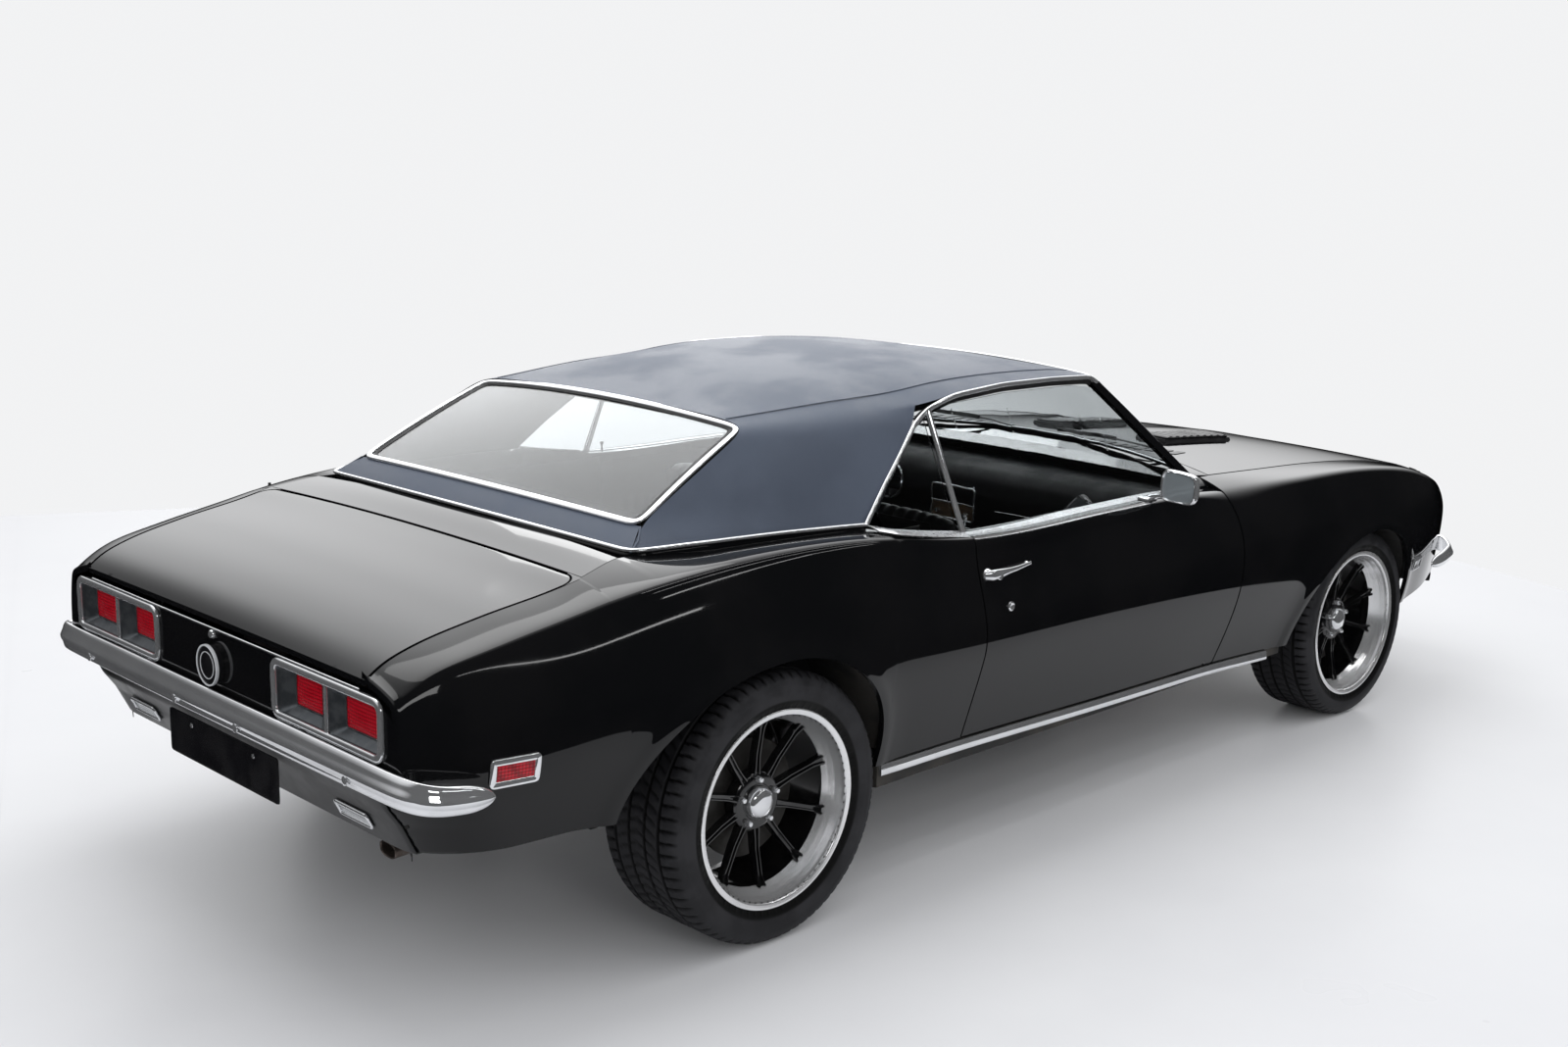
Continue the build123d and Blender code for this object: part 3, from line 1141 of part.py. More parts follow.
def build():
    """Every sub-part by name."""
    pieces = {}
    quarter, fender, left_door = quarter_panel(), front_fender(), door()
    pieces["quarter_panels"] = both(Compound(quarter))
    pieces["front_fenders"] = both(Compound(fender))
    pieces["door_left"], pieces["door_right"] = both(Compound(left_door))
    pieces["trunk_lid"] = trunk_lid()
    pieces["deck_filler"] = deck_filler()
    pieces["hood"] = hood()
    pieces["hood_inserts"] = both(hood_insert())
    pieces["nose_panel"] = nose_panel()
    pieces["roof"] = roof()
    pieces["windshield"] = windshield()
    pieces["rear_window"] = rear_window()
    pieces["cowl"] = cowl()
    pieces["door_glass_left"], pieces["door_glass_right"] = both(side_glass(DOOR_GLASS))
    pieces["quarter_glass"] = both(side_glass(QUARTER_GLASS))
    pieces["tail_panel"] = tail_panel()
    pieces["tail_lamp_bezels"] = tail_lamp_bezels()
    pieces["tail_lamps"] = tail_lamps()
    pieces["rear_valance"] = rear_valance()
    pieces["rear_bumper"] = rear_bumper()
    pieces["front_bumper"] = front_bumper()
    pieces["grille"] = grille()
    pieces["front_valance"] = front_valance()
    pieces["fuel_cap"] = Pos(TAIL_X - SEAT_GAP - 13, 0, 690) * Rot(0, 90, 0) * Cylinder(49, 26)
    pieces["licence_plate"] = licence_plate()
    pieces["floor_pan"] = floor_pan()
    pieces["rocker_mouldings"] = both(rocker_moulding())
    pieces["front_subframe"] = front_subframe()
    pieces["inner_fenders"] = inner_fenders()
    pieces["engine"] = engine()
    pieces["driveline"] = driveline()
    pieces["rear_axle"] = rear_axle()
    pieces["fuel_tank"] = fuel_tank()
    pieces["exhaust"] = exhaust()
    pieces["knuckle_left"], pieces["knuckle_right"] = both(knuckle())
    for end, rim, x in (("rear", REAR_RIM, REAR_AXLE_X), ("front", FRONT_RIM, FRONT_AXLE_X)):
        left_wheel, right_wheel = both(wheel(rim, x))
        left_tyre, right_tyre = both(tyre(rim, x))
        pieces[f"wheel_{end}_left"], pieces[f"wheel_{end}_right"] = left_wheel, right_wheel
        pieces[f"tyre_{end}_left"], pieces[f"tyre_{end}_right"] = left_tyre, right_tyre
    pieces["front_seats"] = both(front_seat())
    pieces["rear_seat"] = rear_seat()
    pieces["steering_wheel"] = steering_wheel()
    pieces["dashboard"] = dashboard()
    pieces["console"] = console()
    pieces["door_handle_left"], pieces["door_handle_right"] = both(door_handle(left_door))
    pieces["mirror_left"], pieces["mirror_right"] = both(mirror(left_door))
    markers, reversing, turn = marker_lamps(quarter, fender)
    pieces["side_markers"] = [m for piece in markers for m in both(piece)]
    pieces["signal_lamps"] = both(reversing) + both(turn)
    return pieces


if __name__ == "__main__":
    os.makedirs("parts", exist_ok=True)
    for name, shape in build().items():
        write(name, shape)
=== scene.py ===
import math

import bmesh
import bpy
import numpy as np
from mathutils import Matrix, Vector


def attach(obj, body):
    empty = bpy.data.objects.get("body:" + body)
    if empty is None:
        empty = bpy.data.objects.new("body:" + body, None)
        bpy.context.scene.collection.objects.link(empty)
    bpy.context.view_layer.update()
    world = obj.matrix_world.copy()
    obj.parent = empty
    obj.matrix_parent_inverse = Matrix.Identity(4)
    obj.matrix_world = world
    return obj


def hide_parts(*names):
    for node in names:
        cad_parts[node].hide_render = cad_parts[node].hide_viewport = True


MM = 0.001
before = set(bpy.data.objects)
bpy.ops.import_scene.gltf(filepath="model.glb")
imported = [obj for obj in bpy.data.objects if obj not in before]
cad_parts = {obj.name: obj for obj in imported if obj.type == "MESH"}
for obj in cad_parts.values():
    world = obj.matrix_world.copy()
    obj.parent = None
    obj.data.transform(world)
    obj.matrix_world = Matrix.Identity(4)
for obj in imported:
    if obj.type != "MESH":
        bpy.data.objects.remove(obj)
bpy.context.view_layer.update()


# ------------------------------------------------------------------ grids and meshes
def bell(values, spread, axis=0, closed=False):
    """Mean of each value's neighbours along one axis, weighted by exp(-(i/spread)^2 / 2).

    A closed run wraps round; an open one is continued through its ends, so the ends stay where they are."""
    reach = int(3 * spread) + 1
    weights = np.exp(-0.5 * (np.arange(-reach, reach + 1) / spread) ** 2)
    weights /= weights.sum()
    v = np.moveaxis(np.asarray(values, float), axis, 0)
    n = len(v)
    i = np.arange(-reach, n + reach)
    if closed:
        padded = v[i % n]
    else:
        inside = np.abs(i)
        inside = np.where(inside > n - 1, 2 * (n - 1) - inside, inside).clip(0, n - 1)
        end = np.where((i < 0).reshape(-1, *[1] * (v.ndim - 1)), v[0], v[-1])
        out = ((i < 0) | (i >= n)).reshape(-1, *[1] * (v.ndim - 1))
        padded = np.where(out, 2 * end - v[inside], v[inside])
    result = sum(w * padded[k:k + n] for k, w in enumerate(weights))
    return np.moveaxis(result, 0, axis)


def points_of(x, y, z):
    """Points (x, y, z) of coordinates that spread over one another's rows and columns."""
    return np.stack(np.broadcast_arrays(x, y, z), axis=-1)


def run_along(points, count, rounding=0.0, closed=False):
    """Points at even steps of length along straight runs, then a bell mean of that rounding in mm turns
    the corners."""
    p = np.array(points, float)
    if closed:
        p = np.vstack([p, p[:1]])
    length = np.r_[0, np.cumsum(np.linalg.norm(np.diff(p, axis=0), axis=1))]
    at = np.linspace(0, length[-1], count + 1)[:-1] if closed else np.linspace(0, length[-1], count)
    even = np.stack([np.interp(at, length, p[:, k]) for k in range(p.shape[1])], axis=1)
    step = length[-1] / (count if closed else count - 1)
    return bell(even, rounding / step, closed=closed) if rounding > 0.2 * step else even


def sheet(grid, around=False, facing=None, closed=False):
    """Vertices and quads of a grid of points. around joins the last column to the first, closed the last
    row to the first.

    The quads face the given way, or away from the middle of the grid."""
    n, m = grid.shape[:2]
    i = np.arange(n if closed else n - 1)[:, None]
    j = np.arange(m if around else m - 1)[None, :]
    i2, j2 = (i + 1) % n, (j + 1) % m
    quads = np.stack([i * m + j, i2 * m + j, i2 * m + j2, i * m + j2], axis=-1).reshape(-1, 4)
    points = grid.reshape(-1, 3).astype(float)
    corner = points[quads]
    normal = np.cross(corner[:, 2] - corner[:, 0], corner[:, 3] - corner[:, 1])
    way = corner.mean(1) - points.mean(0) if facing is None else np.array(facing, float)
    return points, quads[:, ::-1] if (normal * way).sum() < 0 else quads


def other_side(parts):
    """The same parts mirrored across the car's middle plane, still facing outwards."""
    return [(points * np.array([1.0, -1.0, 1.0]), quads[:, ::-1]) for points, quads in parts]


def pair(parts):
    """The parts with their mirror images."""
    return parts + other_side(parts)


def carried_across(outline, ys):
    """Rows of a side outline of (x, z) at each y, with the ends drawn to a point."""
    rows = [np.column_stack([outline[:, 0], np.full(len(outline), y), outline[:, 1]]) for y in ys]
    return np.array([rows[0] * 0 + rows[0].mean(0), *rows, rows[-1] * 0 + rows[-1].mean(0)])


def tube(path, profile, up=(0, 0, 1), closed=False, capped=True, scale=None):
    """Closed profile carried along a path: path + a * side + b * rise, for the profile's points (a, b).

    side is the path's direction crossed with up, rise is side crossed with the direction. Ends shrink to
    a point."""
    p = np.array(path, float)
    if closed:
        way = np.roll(p, -1, axis=0) - np.roll(p, 1, axis=0)
    else:
        way = np.gradient(p, axis=0)
    way /= np.linalg.norm(way, axis=1, keepdims=True)
    side = np.cross(way, np.broadcast_to(np.array(up, float), p.shape))
    side /= np.linalg.norm(side, axis=1, keepdims=True)
    rise = np.cross(side, way)
    size = np.ones(len(p)) if scale is None else np.asarray(scale, float)
    a = np.array(profile, float)[None, :, :] * size[:, None, None]
    grid = p[:, None, :] + a[..., :1] * side[:, None, :] + a[..., 1:] * rise[:, None, :]
    if capped and not closed:
        first = np.broadcast_to(grid[:1].mean(1, keepdims=True), (1,) + grid.shape[1:])
        last = np.broadcast_to(grid[-1:].mean(1, keepdims=True), (1,) + grid.shape[1:])
        grid = np.concatenate([first, grid, last])
    return oriented(sheet(grid, around=True, closed=closed), p)


def oriented(part, path):
    """Part turned so that its faces point away from the nearest point of its path."""
    points, quads = part
    centre = points[quads].mean(1)
    step = max(len(path) // 60, 1)
    coarse = path[::step]
    near = coarse[np.linalg.norm(centre[::7, None, :] - coarse[None], axis=2).argmin(1)]
    corner = points[quads[::7]]
    normal = np.cross(corner[:, 2] - corner[:, 0], corner[:, 3] - corner[:, 1])
    return (points, quads[:, ::-1]) if (normal * (centre[::7] - near)).sum() < 0 else part


def round_bar(a, b, power=2.0, count=24):
    """Superellipse profile of half sizes a and b: |x/a|^power + |y/b|^power = 1."""
    t = np.linspace(0, 2 * math.pi, count, endpoint=False)
    c, s = np.cos(t), np.sin(t)
    return np.stack([a * np.sign(c) * np.abs(c) ** (2 / power), b * np.sign(s) * np.abs(s) ** (2 / power)],
                    axis=1)


def turned(profile, centre, count=96, facing=None):
    """Profile of (y, radius) points turned about the axis along y through centre (x, z)."""
    a = np.linspace(0, 2 * math.pi, count, endpoint=False)[:, None]
    y, r = np.array(profile, float).T
    grid = points_of(centre[0] + r * np.cos(a), np.broadcast_to(y, (count, len(y))),
                     centre[1] + r * np.sin(a))
    return sheet(grid, closed=True, facing=facing)


def turned_about(origin, axis, profile, count=48):
    """Profile of (height, radius) points turned about any axis through origin. Rings of radius 0 close
    the ends."""
    way = np.array(axis, float) / np.linalg.norm(axis)
    side = np.cross(way, (0.3, 0.2, 0.93))
    side /= np.linalg.norm(side)
    over = np.cross(way, side)
    a = np.linspace(0, 2 * math.pi, count, endpoint=False)[:, None, None]
    h, r = np.array(profile, float).T
    ring = np.cos(a) * side + np.sin(a) * over
    grid = np.array(origin, float) + h[None, :, None] * way + r[None, :, None] * ring
    return sheet(grid, closed=True)


def block(x0, x1, y0, y1, z0, z1, edge=2.0):
    """Box with rounded edges as a grid: sections in x, each a rounded rectangle, ends drawn in."""
    y, z, hy, hz = (y0 + y1) / 2, (z0 + z1) / 2, (y1 - y0) / 2, (z1 - z0) / 2
    edge = min(edge, hy * 0.9, hz * 0.9, (x1 - x0) * 0.45)
    a = np.linspace(0, math.pi / 2, 4)
    corner = np.stack([np.cos(a), np.sin(a)], axis=1)
    ring, centre = [], []
    for sy, sz, turn in ((1, 1, 0), (-1, 1, 1), (-1, -1, 2), (1, -1, 3)):
        c, s = math.cos(turn * math.pi / 2), math.sin(turn * math.pi / 2)
        ring.append(corner @ np.array([[c, s], [-s, c]]))
        centre.append(np.repeat([[sy, sz]], 4, axis=0))
    ring, centre = np.concatenate(ring), np.concatenate(centre).astype(float)
    steps = [(x0, 0.0, 0.0), (x0, 0.0, 1.0)]
    steps += [(x0 + edge * (1 - math.cos(t)), math.sin(t), 1.0) for t in a[1:]]
    steps += [(x1 - edge * (1 - math.cos(t)), math.sin(t), 1.0) for t in a[::-1][:-1]]
    steps += [(x1, 0.0, 1.0), (x1, 0.0, 0.0)]
    rows = []
    for x, grow, solid in steps:
        half = np.array([hy - edge, hz - edge])
        p = (centre * half + ring * edge * grow) * solid
        rows.append(np.column_stack([np.full(len(p), x), y + p[:, 0], z + p[:, 1]]))
    return sheet(np.array(rows), around=True)


def piece(name, parts, finish, body="body", stands_for=(), slot=None, sharp=40.0, bevel=0.0, thick=0.0,
          levels=0):
    """One object from parts of (points in mm, quads): doubles merged, shaded smooth up to the sharp
    angle."""
    points = np.concatenate([p for p, _ in parts]) * MM
    offset = np.cumsum([0] + [len(p) for p, _ in parts[:-1]])
    quads = np.concatenate([q + o for (_, q), o in zip(parts, offset)])
    mesh = bpy.data.meshes.new(name)
    mesh.from_pydata(points.tolist(), [], quads.tolist())
    bm = bmesh.new()
    bm.from_mesh(mesh)
    bmesh.ops.remove_doubles(bm, verts=bm.verts, dist=2e-5)
    bmesh.ops.dissolve_degenerate(bm, dist=1e-6, edges=bm.edges)
    bm.to_mesh(mesh)
    bm.free()
    mesh.shade_smooth()
    mesh.set_sharp_from_angle(angle=math.radians(sharp))
    obj = bpy.data.objects.new(name, mesh)
    bpy.context.scene.collection.objects.link(obj)
    mesh.materials.append(FINISH[finish])
    if thick:
        wall = obj.modifiers.new("thickness", "SOLIDIFY")
        wall.thickness = thick * MM
        wall.offset = -1.0
    if bevel:
        edge = obj.modifiers.new("edge", "BEVEL")
        edge.width = bevel * MM
        edge.segments = 2
        edge.limit_method = "ANGLE"
        edge.angle_limit = math.radians(50)
    if levels:
        soft = obj.modifiers.new("soft", "SUBSURF")
        soft.levels = soft.render_levels = levels
    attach(obj, body)
    if stands_for:
        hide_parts(*stands_for)
    return obj


# ------------------------------------------------------------------ finishes
FINISH = {}


def node_group(name, inputs, outputs):
    """Empty shader group with number inputs (name, value) and named outputs of a socket type."""
    group = bpy.data.node_groups.new(name, "ShaderNodeTree")
    for label, value in inputs:
        socket = group.interface.new_socket(label, in_out="INPUT", socket_type="NodeSocketFloat")
        socket.default_value = value
    for label, kind in outputs:
        group.interface.new_socket(label, in_out="OUTPUT", socket_type=kind)
    return group, group.nodes.new("NodeGroupInput"), group.nodes.new("NodeGroupOutput")


def add(tree, kind, **settings):
    """New node with its settings; settings of its sockets are given by name."""
    node = tree.nodes.new(kind)
    for key, value in settings.items():
        if hasattr(node, key):
            setattr(node, key, value)
        else:
            node.inputs[key.replace("_", " ")].default_value = value
    return node


def noise_group():
    """Cloudy variation: noise of a given scale turned into a mask between low and high."""
    group, inn, out = node_group("mottle", [("Scale", 5.0), ("Low", 0.4), ("High", 0.6)],
                                 [("Mask", "NodeSocketFloat")])
    place = add(group, "ShaderNodeTexCoord")
    noise = add(group, "ShaderNodeTexNoise", Detail=5.0, Roughness=0.6)
    span = add(group, "ShaderNodeMapRange", interpolation_type="SMOOTHSTEP")
    group.links.new(place.outputs["Object"], noise.inputs["Vector"])
    group.links.new(inn.outputs["Scale"], noise.inputs["Scale"])
    group.links.new(noise.outputs["Fac"], span.inputs["Value"])
    group.links.new(inn.outputs["Low"], span.inputs["From Min"])
    group.links.new(inn.outputs["High"], span.inputs["From Max"])
    group.links.new(span.outputs["Result"], out.inputs["Mask"])
    return group


def grain_group():
    """Leathery grain: cell borders of a fine mosaic over soft creases, as a height."""
    group, inn, out = node_group("grain", [("Scale", 400.0), ("Crease", 0.4)],
                                 [("Height", "NodeSocketFloat")])
    place = add(group, "ShaderNodeTexCoord")
    cells = add(group, "ShaderNodeTexVoronoi", feature="DISTANCE_TO_EDGE")
    fold = add(group, "ShaderNodeTexNoise", Detail=3.0)
    bound = add(group, "ShaderNodeMapRange")
    bound.inputs["From Max"].default_value = 0.22
    part = add(group, "ShaderNodeMath", operation="MULTIPLY")
    blend = add(group, "ShaderNodeMath", operation="ADD")
    slow = add(group, "ShaderNodeMath", operation="MULTIPLY")
    slow.inputs[1].default_value = 0.35
    link = group.links.new
    link(place.outputs["Object"], cells.inputs["Vector"])
    link(place.outputs["Object"], fold.inputs["Vector"])
    link(inn.outputs["Scale"], cells.inputs["Scale"])
    link(inn.outputs["Scale"], slow.inputs[0])
    link(slow.outputs[0], fold.inputs["Scale"])
    link(cells.outputs["Distance"], bound.inputs["Value"])
    link(fold.outputs["Fac"], part.inputs[0])
    link(inn.outputs["Crease"], part.inputs[1])
    link(bound.outputs["Result"], blend.inputs[0])
    link(part.outputs[0], blend.inputs[1])
    link(blend.outputs[0], out.inputs["Height"])
    return group


MOTTLE, GRAIN = noise_group(), grain_group()


def use_group(tree, group, **values):
    """Node that holds a shared group, with its input values."""
    node = tree.nodes.new("ShaderNodeGroup")
    node.node_tree = group
    for key, value in values.items():
        node.inputs[key].default_value = value
    return node


def finish(name, colour, rough, other=None, rough_to=None, scale=6.0, span=(0.4, 0.62), metal=0.0,
           bump=None,
           bump_scale=400.0, bump_kind="noise", distance=0.0002, **sockets):
    """Material whose colour and roughness wander between two values over a cloudy mask, with a fine
    height."""
    mat = bpy.data.materials.new(name)
    mat.use_nodes = True
    tree = mat.node_tree
    shader = tree.nodes["Principled BSDF"]
    shader.inputs["Metallic"].default_value = metal
    for key, value in sockets.items():
        shader.inputs[key.replace("_", " ")].default_value = value
    mask = use_group(tree, MOTTLE, Scale=scale, Low=span[0], High=span[1])
    tint = add(tree, "ShaderNodeMix", data_type="RGBA")
    tint.inputs["A"].default_value = (*colour, 1)
    tint.inputs["B"].default_value = (*(other or colour), 1)
    tree.links.new(mask.outputs["Mask"], tint.inputs["Factor"])
    tree.links.new(tint.outputs["Result"], shader.inputs["Base Color"])
    level = add(tree, "ShaderNodeMapRange")
    level.inputs["To Min"].default_value = rough
    level.inputs["To Max"].default_value = rough if rough_to is None else rough_to
    tree.links.new(mask.outputs["Mask"], level.inputs["Value"])
    tree.links.new(level.outputs["Result"], shader.inputs["Roughness"])
    if bump:
        relief = add(tree, "ShaderNodeBump")
        relief.inputs["Strength"].default_value = bump
        relief.inputs["Distance"].default_value = distance
        if bump_kind == "grain":
            height = use_group(tree, GRAIN, Scale=bump_scale, Crease=0.5).outputs["Height"]
        else:
            place = add(tree, "ShaderNodeTexCoord")
            noise = add(tree, "ShaderNodeTexNoise", Scale=bump_scale, Detail=3.0)
            tree.links.new(place.outputs["Object"], noise.inputs["Vector"])
            height = noise.outputs["Fac"]
        tree.links.new(height, relief.inputs["Height"])
        tree.links.new(relief.outputs["Normal"], shader.inputs["Normal"])
    FINISH[name] = mat
    return mat, tree, shader


def make_finishes():
    """Every finish on the car."""
    finish("paint", (0.0035, 0.0037, 0.0042), 0.045, (0.005, 0.005, 0.0055), 0.075, scale=2.2, bump=0.05,
           bump_scale=260,
           distance=0.00004, Coat_Weight=0.35, Coat_Roughness=0.02, Coat_IOR=1.45, Specular_IOR_Level=0.2)
    finish("satin_paint", (0.011, 0.0115, 0.0125), 0.32, (0.018, 0.018, 0.019), 0.42, scale=7, bump=0.12,
           bump_scale=700)
    finish("vinyl", (0.056, 0.068, 0.096), 0.46, (0.066, 0.080, 0.112), 0.58, scale=3.2, bump=0.6,
           bump_scale=420,
           bump_kind="grain", distance=0.0004, Specular_IOR_Level=0.36, Specular_Tint=(0.80, 0.90, 1.0, 1))
    finish("chrome", (0.84, 0.85, 0.87), 0.05, (0.78, 0.79, 0.81), 0.10, scale=9, metal=0.86, bump=0.02,
           bump_scale=90)
    finish("trim", (0.62, 0.62, 0.63), 0.20, (0.54, 0.54, 0.55), 0.30, scale=18, metal=1.0, bump=0.03,
           bump_scale=500)
    finish("polished", (0.90, 0.90, 0.91), 0.20, (0.84, 0.85, 0.86), 0.26, scale=5, metal=0.80)
    finish("silvered", (0.42, 0.47, 0.50), 0.10, (0.46, 0.51, 0.54), 0.15, scale=4, metal=0.6)
    finish("spoke", (0.0035, 0.0035, 0.004), 0.12, (0.006, 0.006, 0.006), 0.20, scale=20, bump=0.06,
           bump_scale=500,
           Coat_Weight=0.5, Coat_Roughness=0.08)
    finish("rubber", (0.015, 0.015, 0.017), 0.50, (0.026, 0.026, 0.029), 0.66, scale=11, bump=0.30,
           bump_scale=900,
           Specular_IOR_Level=0.2)
    finish("seal", (0.010, 0.010, 0.011), 0.50, (0.018, 0.018, 0.018), 0.65, scale=20, bump=0.2,
           bump_scale=600)
    finish("black", (0.012, 0.012, 0.013), 0.35, (0.020, 0.020, 0.021), 0.50, scale=12, bump=0.1,
           bump_scale=500)
    finish("lamp_grey", (0.09, 0.10, 0.11), 0.30, (0.13, 0.14, 0.15), 0.42, scale=30, metal=0.75, bump=0.08,
           bump_scale=300)
    finish("plate", (0.006, 0.006, 0.007), 0.16, (0.010, 0.010, 0.011), 0.26, scale=12,
           Specular_IOR_Level=0.25, bump=0.05, bump_scale=300)
    finish("hide", (0.006, 0.006, 0.007), 0.40, (0.010, 0.010, 0.011), 0.55, scale=9,
           Specular_IOR_Level=0.2, bump=0.5, bump_scale=480,
           bump_kind="grain", distance=0.0003)
    finish("carpet", (0.007, 0.007, 0.008), 0.9, (0.014, 0.013, 0.013), 1.0, scale=60, bump=0.9,
           bump_scale=900,
           distance=0.002, Sheen_Weight=0.3)
    finish("plastic", (0.005, 0.005, 0.006), 0.55, (0.008, 0.008, 0.009), 0.68, scale=12,
           Specular_IOR_Level=0.1, bump=0.35, bump_scale=700,
           bump_kind="grain")
    finish("liner", (0.009, 0.009, 0.010), 0.75, (0.014, 0.014, 0.014), 0.9, scale=14, bump=0.5,
           bump_scale=700)
    finish("under", (0.014, 0.014, 0.014), 0.62, (0.045, 0.041, 0.036), 0.9, scale=5, bump=0.5,
           bump_scale=160,
           distance=0.001)
    finish("engine", (0.32, 0.055, 0.02), 0.38, (0.22, 0.04, 0.02), 0.55, scale=8, bump=0.2, bump_scale=120,
           distance=0.0006)
    finish("steel", (0.40, 0.39, 0.38), 0.34, (0.20, 0.18, 0.16), 0.62, scale=7, metal=1.0, bump=0.2,
           bump_scale=200)
    finish("dark_steel", (0.055, 0.053, 0.050), 0.45, (0.030, 0.028, 0.026), 0.7, scale=6, metal=0.6,
           bump=0.3, bump_scale=180)
    finish("tip_steel", (0.20, 0.17, 0.15), 0.30, (0.10, 0.08, 0.07), 0.45, scale=14, metal=0.8, bump=0.1,
           bump_scale=300)
    finish("pale_line", (0.52, 0.53, 0.55), 0.35, (0.46, 0.47, 0.49), 0.45, scale=20)
    finish("dial", (0.02, 0.02, 0.022), 0.25, (0.03, 0.03, 0.032), 0.3, scale=12, Coat_Weight=1.0,
           Coat_Roughness=0.03)
    paint_groove_shade()
    make_wood()
    make_glass()
    # The red lens carries a painted glow of 0.10; the clear one has none.
    make_lens("red", (0.42, 0.004, 0.014), 125.0, 0.10)
    make_lens("clear", (0.78, 0.80, 0.82), 110.0, 0.0)


def paint_groove_shade():
    """Painted shade: rubber goes nearly black where the tread is sunk, darkening the grooves."""
    tree = FINISH["rubber"].node_tree
    shader = tree.nodes["Principled BSDF"]
    plain = shader.inputs["Base Color"].links[0].from_socket
    sunk = add(tree, "ShaderNodeAttribute", attribute_name="sunk")
    tint = add(tree, "ShaderNodeMix", data_type="RGBA")
    # Near-black colour painted into the grooves as shade.
    tint.inputs["B"].default_value = (0.0015, 0.0015, 0.0016, 1)
    tree.links.new(sunk.outputs["Fac"], tint.inputs["Factor"])
    tree.links.new(plain, tint.inputs["A"])
    tree.links.new(tint.outputs["Result"], shader.inputs["Base Color"])


def make_wood():
    """Walnut-like panel: stretched rings mixed between two browns."""
    _, tree, shader = finish("wood", (0.16, 0.09, 0.045), 0.3, scale=4, Coat_Weight=0.6,
                             Coat_Roughness=0.08)
    place = add(tree, "ShaderNodeTexCoord")
    stretch = add(tree, "ShaderNodeMapping")
    stretch.inputs["Scale"].default_value = (60, 6, 60)
    rings = add(tree, "ShaderNodeTexNoise", Scale=1.6, Detail=6.0, Distortion=1.2)
    tint = add(tree, "ShaderNodeMix", data_type="RGBA")
    tint.inputs["A"].default_value = (0.30, 0.19, 0.10, 1)
    tint.inputs["B"].default_value = (0.10, 0.055, 0.028, 1)
    tree.links.new(place.outputs["Object"], stretch.inputs["Vector"])
    tree.links.new(stretch.outputs["Vector"], rings.inputs["Vector"])
    tree.links.new(rings.outputs["Fac"], tint.inputs["Factor"])
    tree.links.new(tint.outputs["Result"], shader.inputs["Base Color"])


def make_glass():
    """Lightly smoked window glass with a faint unevenness."""
    finish("glass", (0.89, 0.92, 0.93), 0.0, (0.87, 0.90, 0.91), 0.004, scale=3, Transmission_Weight=1.0,
           IOR=1.45)


def make_lens(name, colour, scale, painted_glow):
    """Moulded lens: rows of small raised dots over a clear body, with painted shade darkening each dot's
    rim, and a painted glow where one is given.
    """
    _, tree, shader = finish(name, colour, 0.12, tuple(c * 0.72 for c in colour), 0.2, scale=30,
                             Coat_Weight=0.25,
                               Coat_Roughness=0.05, IOR=1.45)
    place = add(tree, "ShaderNodeTexCoord")
    dots = add(tree, "ShaderNodeTexVoronoi", feature="F1", Scale=scale, Randomness=0.0)
    relief = add(tree, "ShaderNodeBump", Strength=0.8, Distance=0.002, invert=True)
    # Painted shade: the colour darkens to a third of itself towards each dot's rim.
    shade = add(tree, "ShaderNodeMix", data_type="RGBA", blend_type="MIX")
    shade.inputs["A"].default_value = (*colour, 1)
    shade.inputs["B"].default_value = (*[c * 0.35 for c in colour], 1)
    span = add(tree, "ShaderNodeMapRange")
    span.inputs["From Min"].default_value = 0.25
    span.inputs["From Max"].default_value = 0.6
    tree.links.new(place.outputs["Object"], dots.inputs["Vector"])
    tree.links.new(dots.outputs["Distance"], relief.inputs["Height"])
    tree.links.new(relief.outputs["Normal"], shader.inputs["Normal"])
    tree.links.new(dots.outputs["Distance"], span.inputs["Value"])
    tree.links.new(span.outputs["Result"], shade.inputs["Factor"])
    tree.links.new(shade.outputs["Result"], shader.inputs["Base Color"])
    # Painted glow: the dotted colour is also given off as light, though no lamp is lit inside.
    if painted_glow:
        tree.links.new(shade.outputs["Result"], shader.inputs["Emission Color"])
        shader.inputs["Emission Strength"].default_value = painted_glow


make_finishes()


# ------------------------------------------------------------------ body tables (mm)
# x, crease_y, crease_z, wide_y, wide_z, sill_y, sill_z, lower_round, power, flat
SIDE = np.array([
    (-2310, 772, 770, 790, 640, 770, 440, 0.5, 2.0, 0.0),
    (-2235, 788, 818, 822, 640, 786, 432, 0.5, 2.0, 0.0),
    (-2087, 800, 853, 858, 640, 806, 424, 0.4, 2.0, 0.0),
    (-1900, 808, 888, 888, 642, 826, 412, 0.3, 2.0, 0.0),
    (-1650, 822, 930, 910, 645, 840, 396, 0.2, 2.0, 0.0),
    (-1330, 834, 956, 921, 645, 848, 376, 0.15, 2.0, 0.0),
    (-1000, 846, 948, 921, 640, 846, 352, 0.12, 1.8, 0.2),
    (-607, 866, 897, 920, 630, 838, 345, 0.1, 1.6, 1.0),
    (0, 866, 893, 917, 635, 838, 334, 0.15, 1.8, 1.0), (350, 855, 888, 919, 645, 833, 328, 0.3, 2.2, 0.6),
    (610, 830, 868, 920, 652, 826, 322, 0.5, 2.5, 0.0), (1000, 846, 866, 920, 645, 836, 312, 0.5, 2.4, 0.0),
    (1413, 850, 855, 912, 632, 842, 315, 0.5, 2.3, 0.0),
    (1750, 836, 814, 893, 615, 838, 330, 0.5, 2.2, 0.0),
    (1990, 798, 755, 845, 605, 802, 345, 0.5, 2.2, 0.0),
    (2190, 728, 700, 765, 590, 738, 360, 0.5, 2.2, 0.0),
])
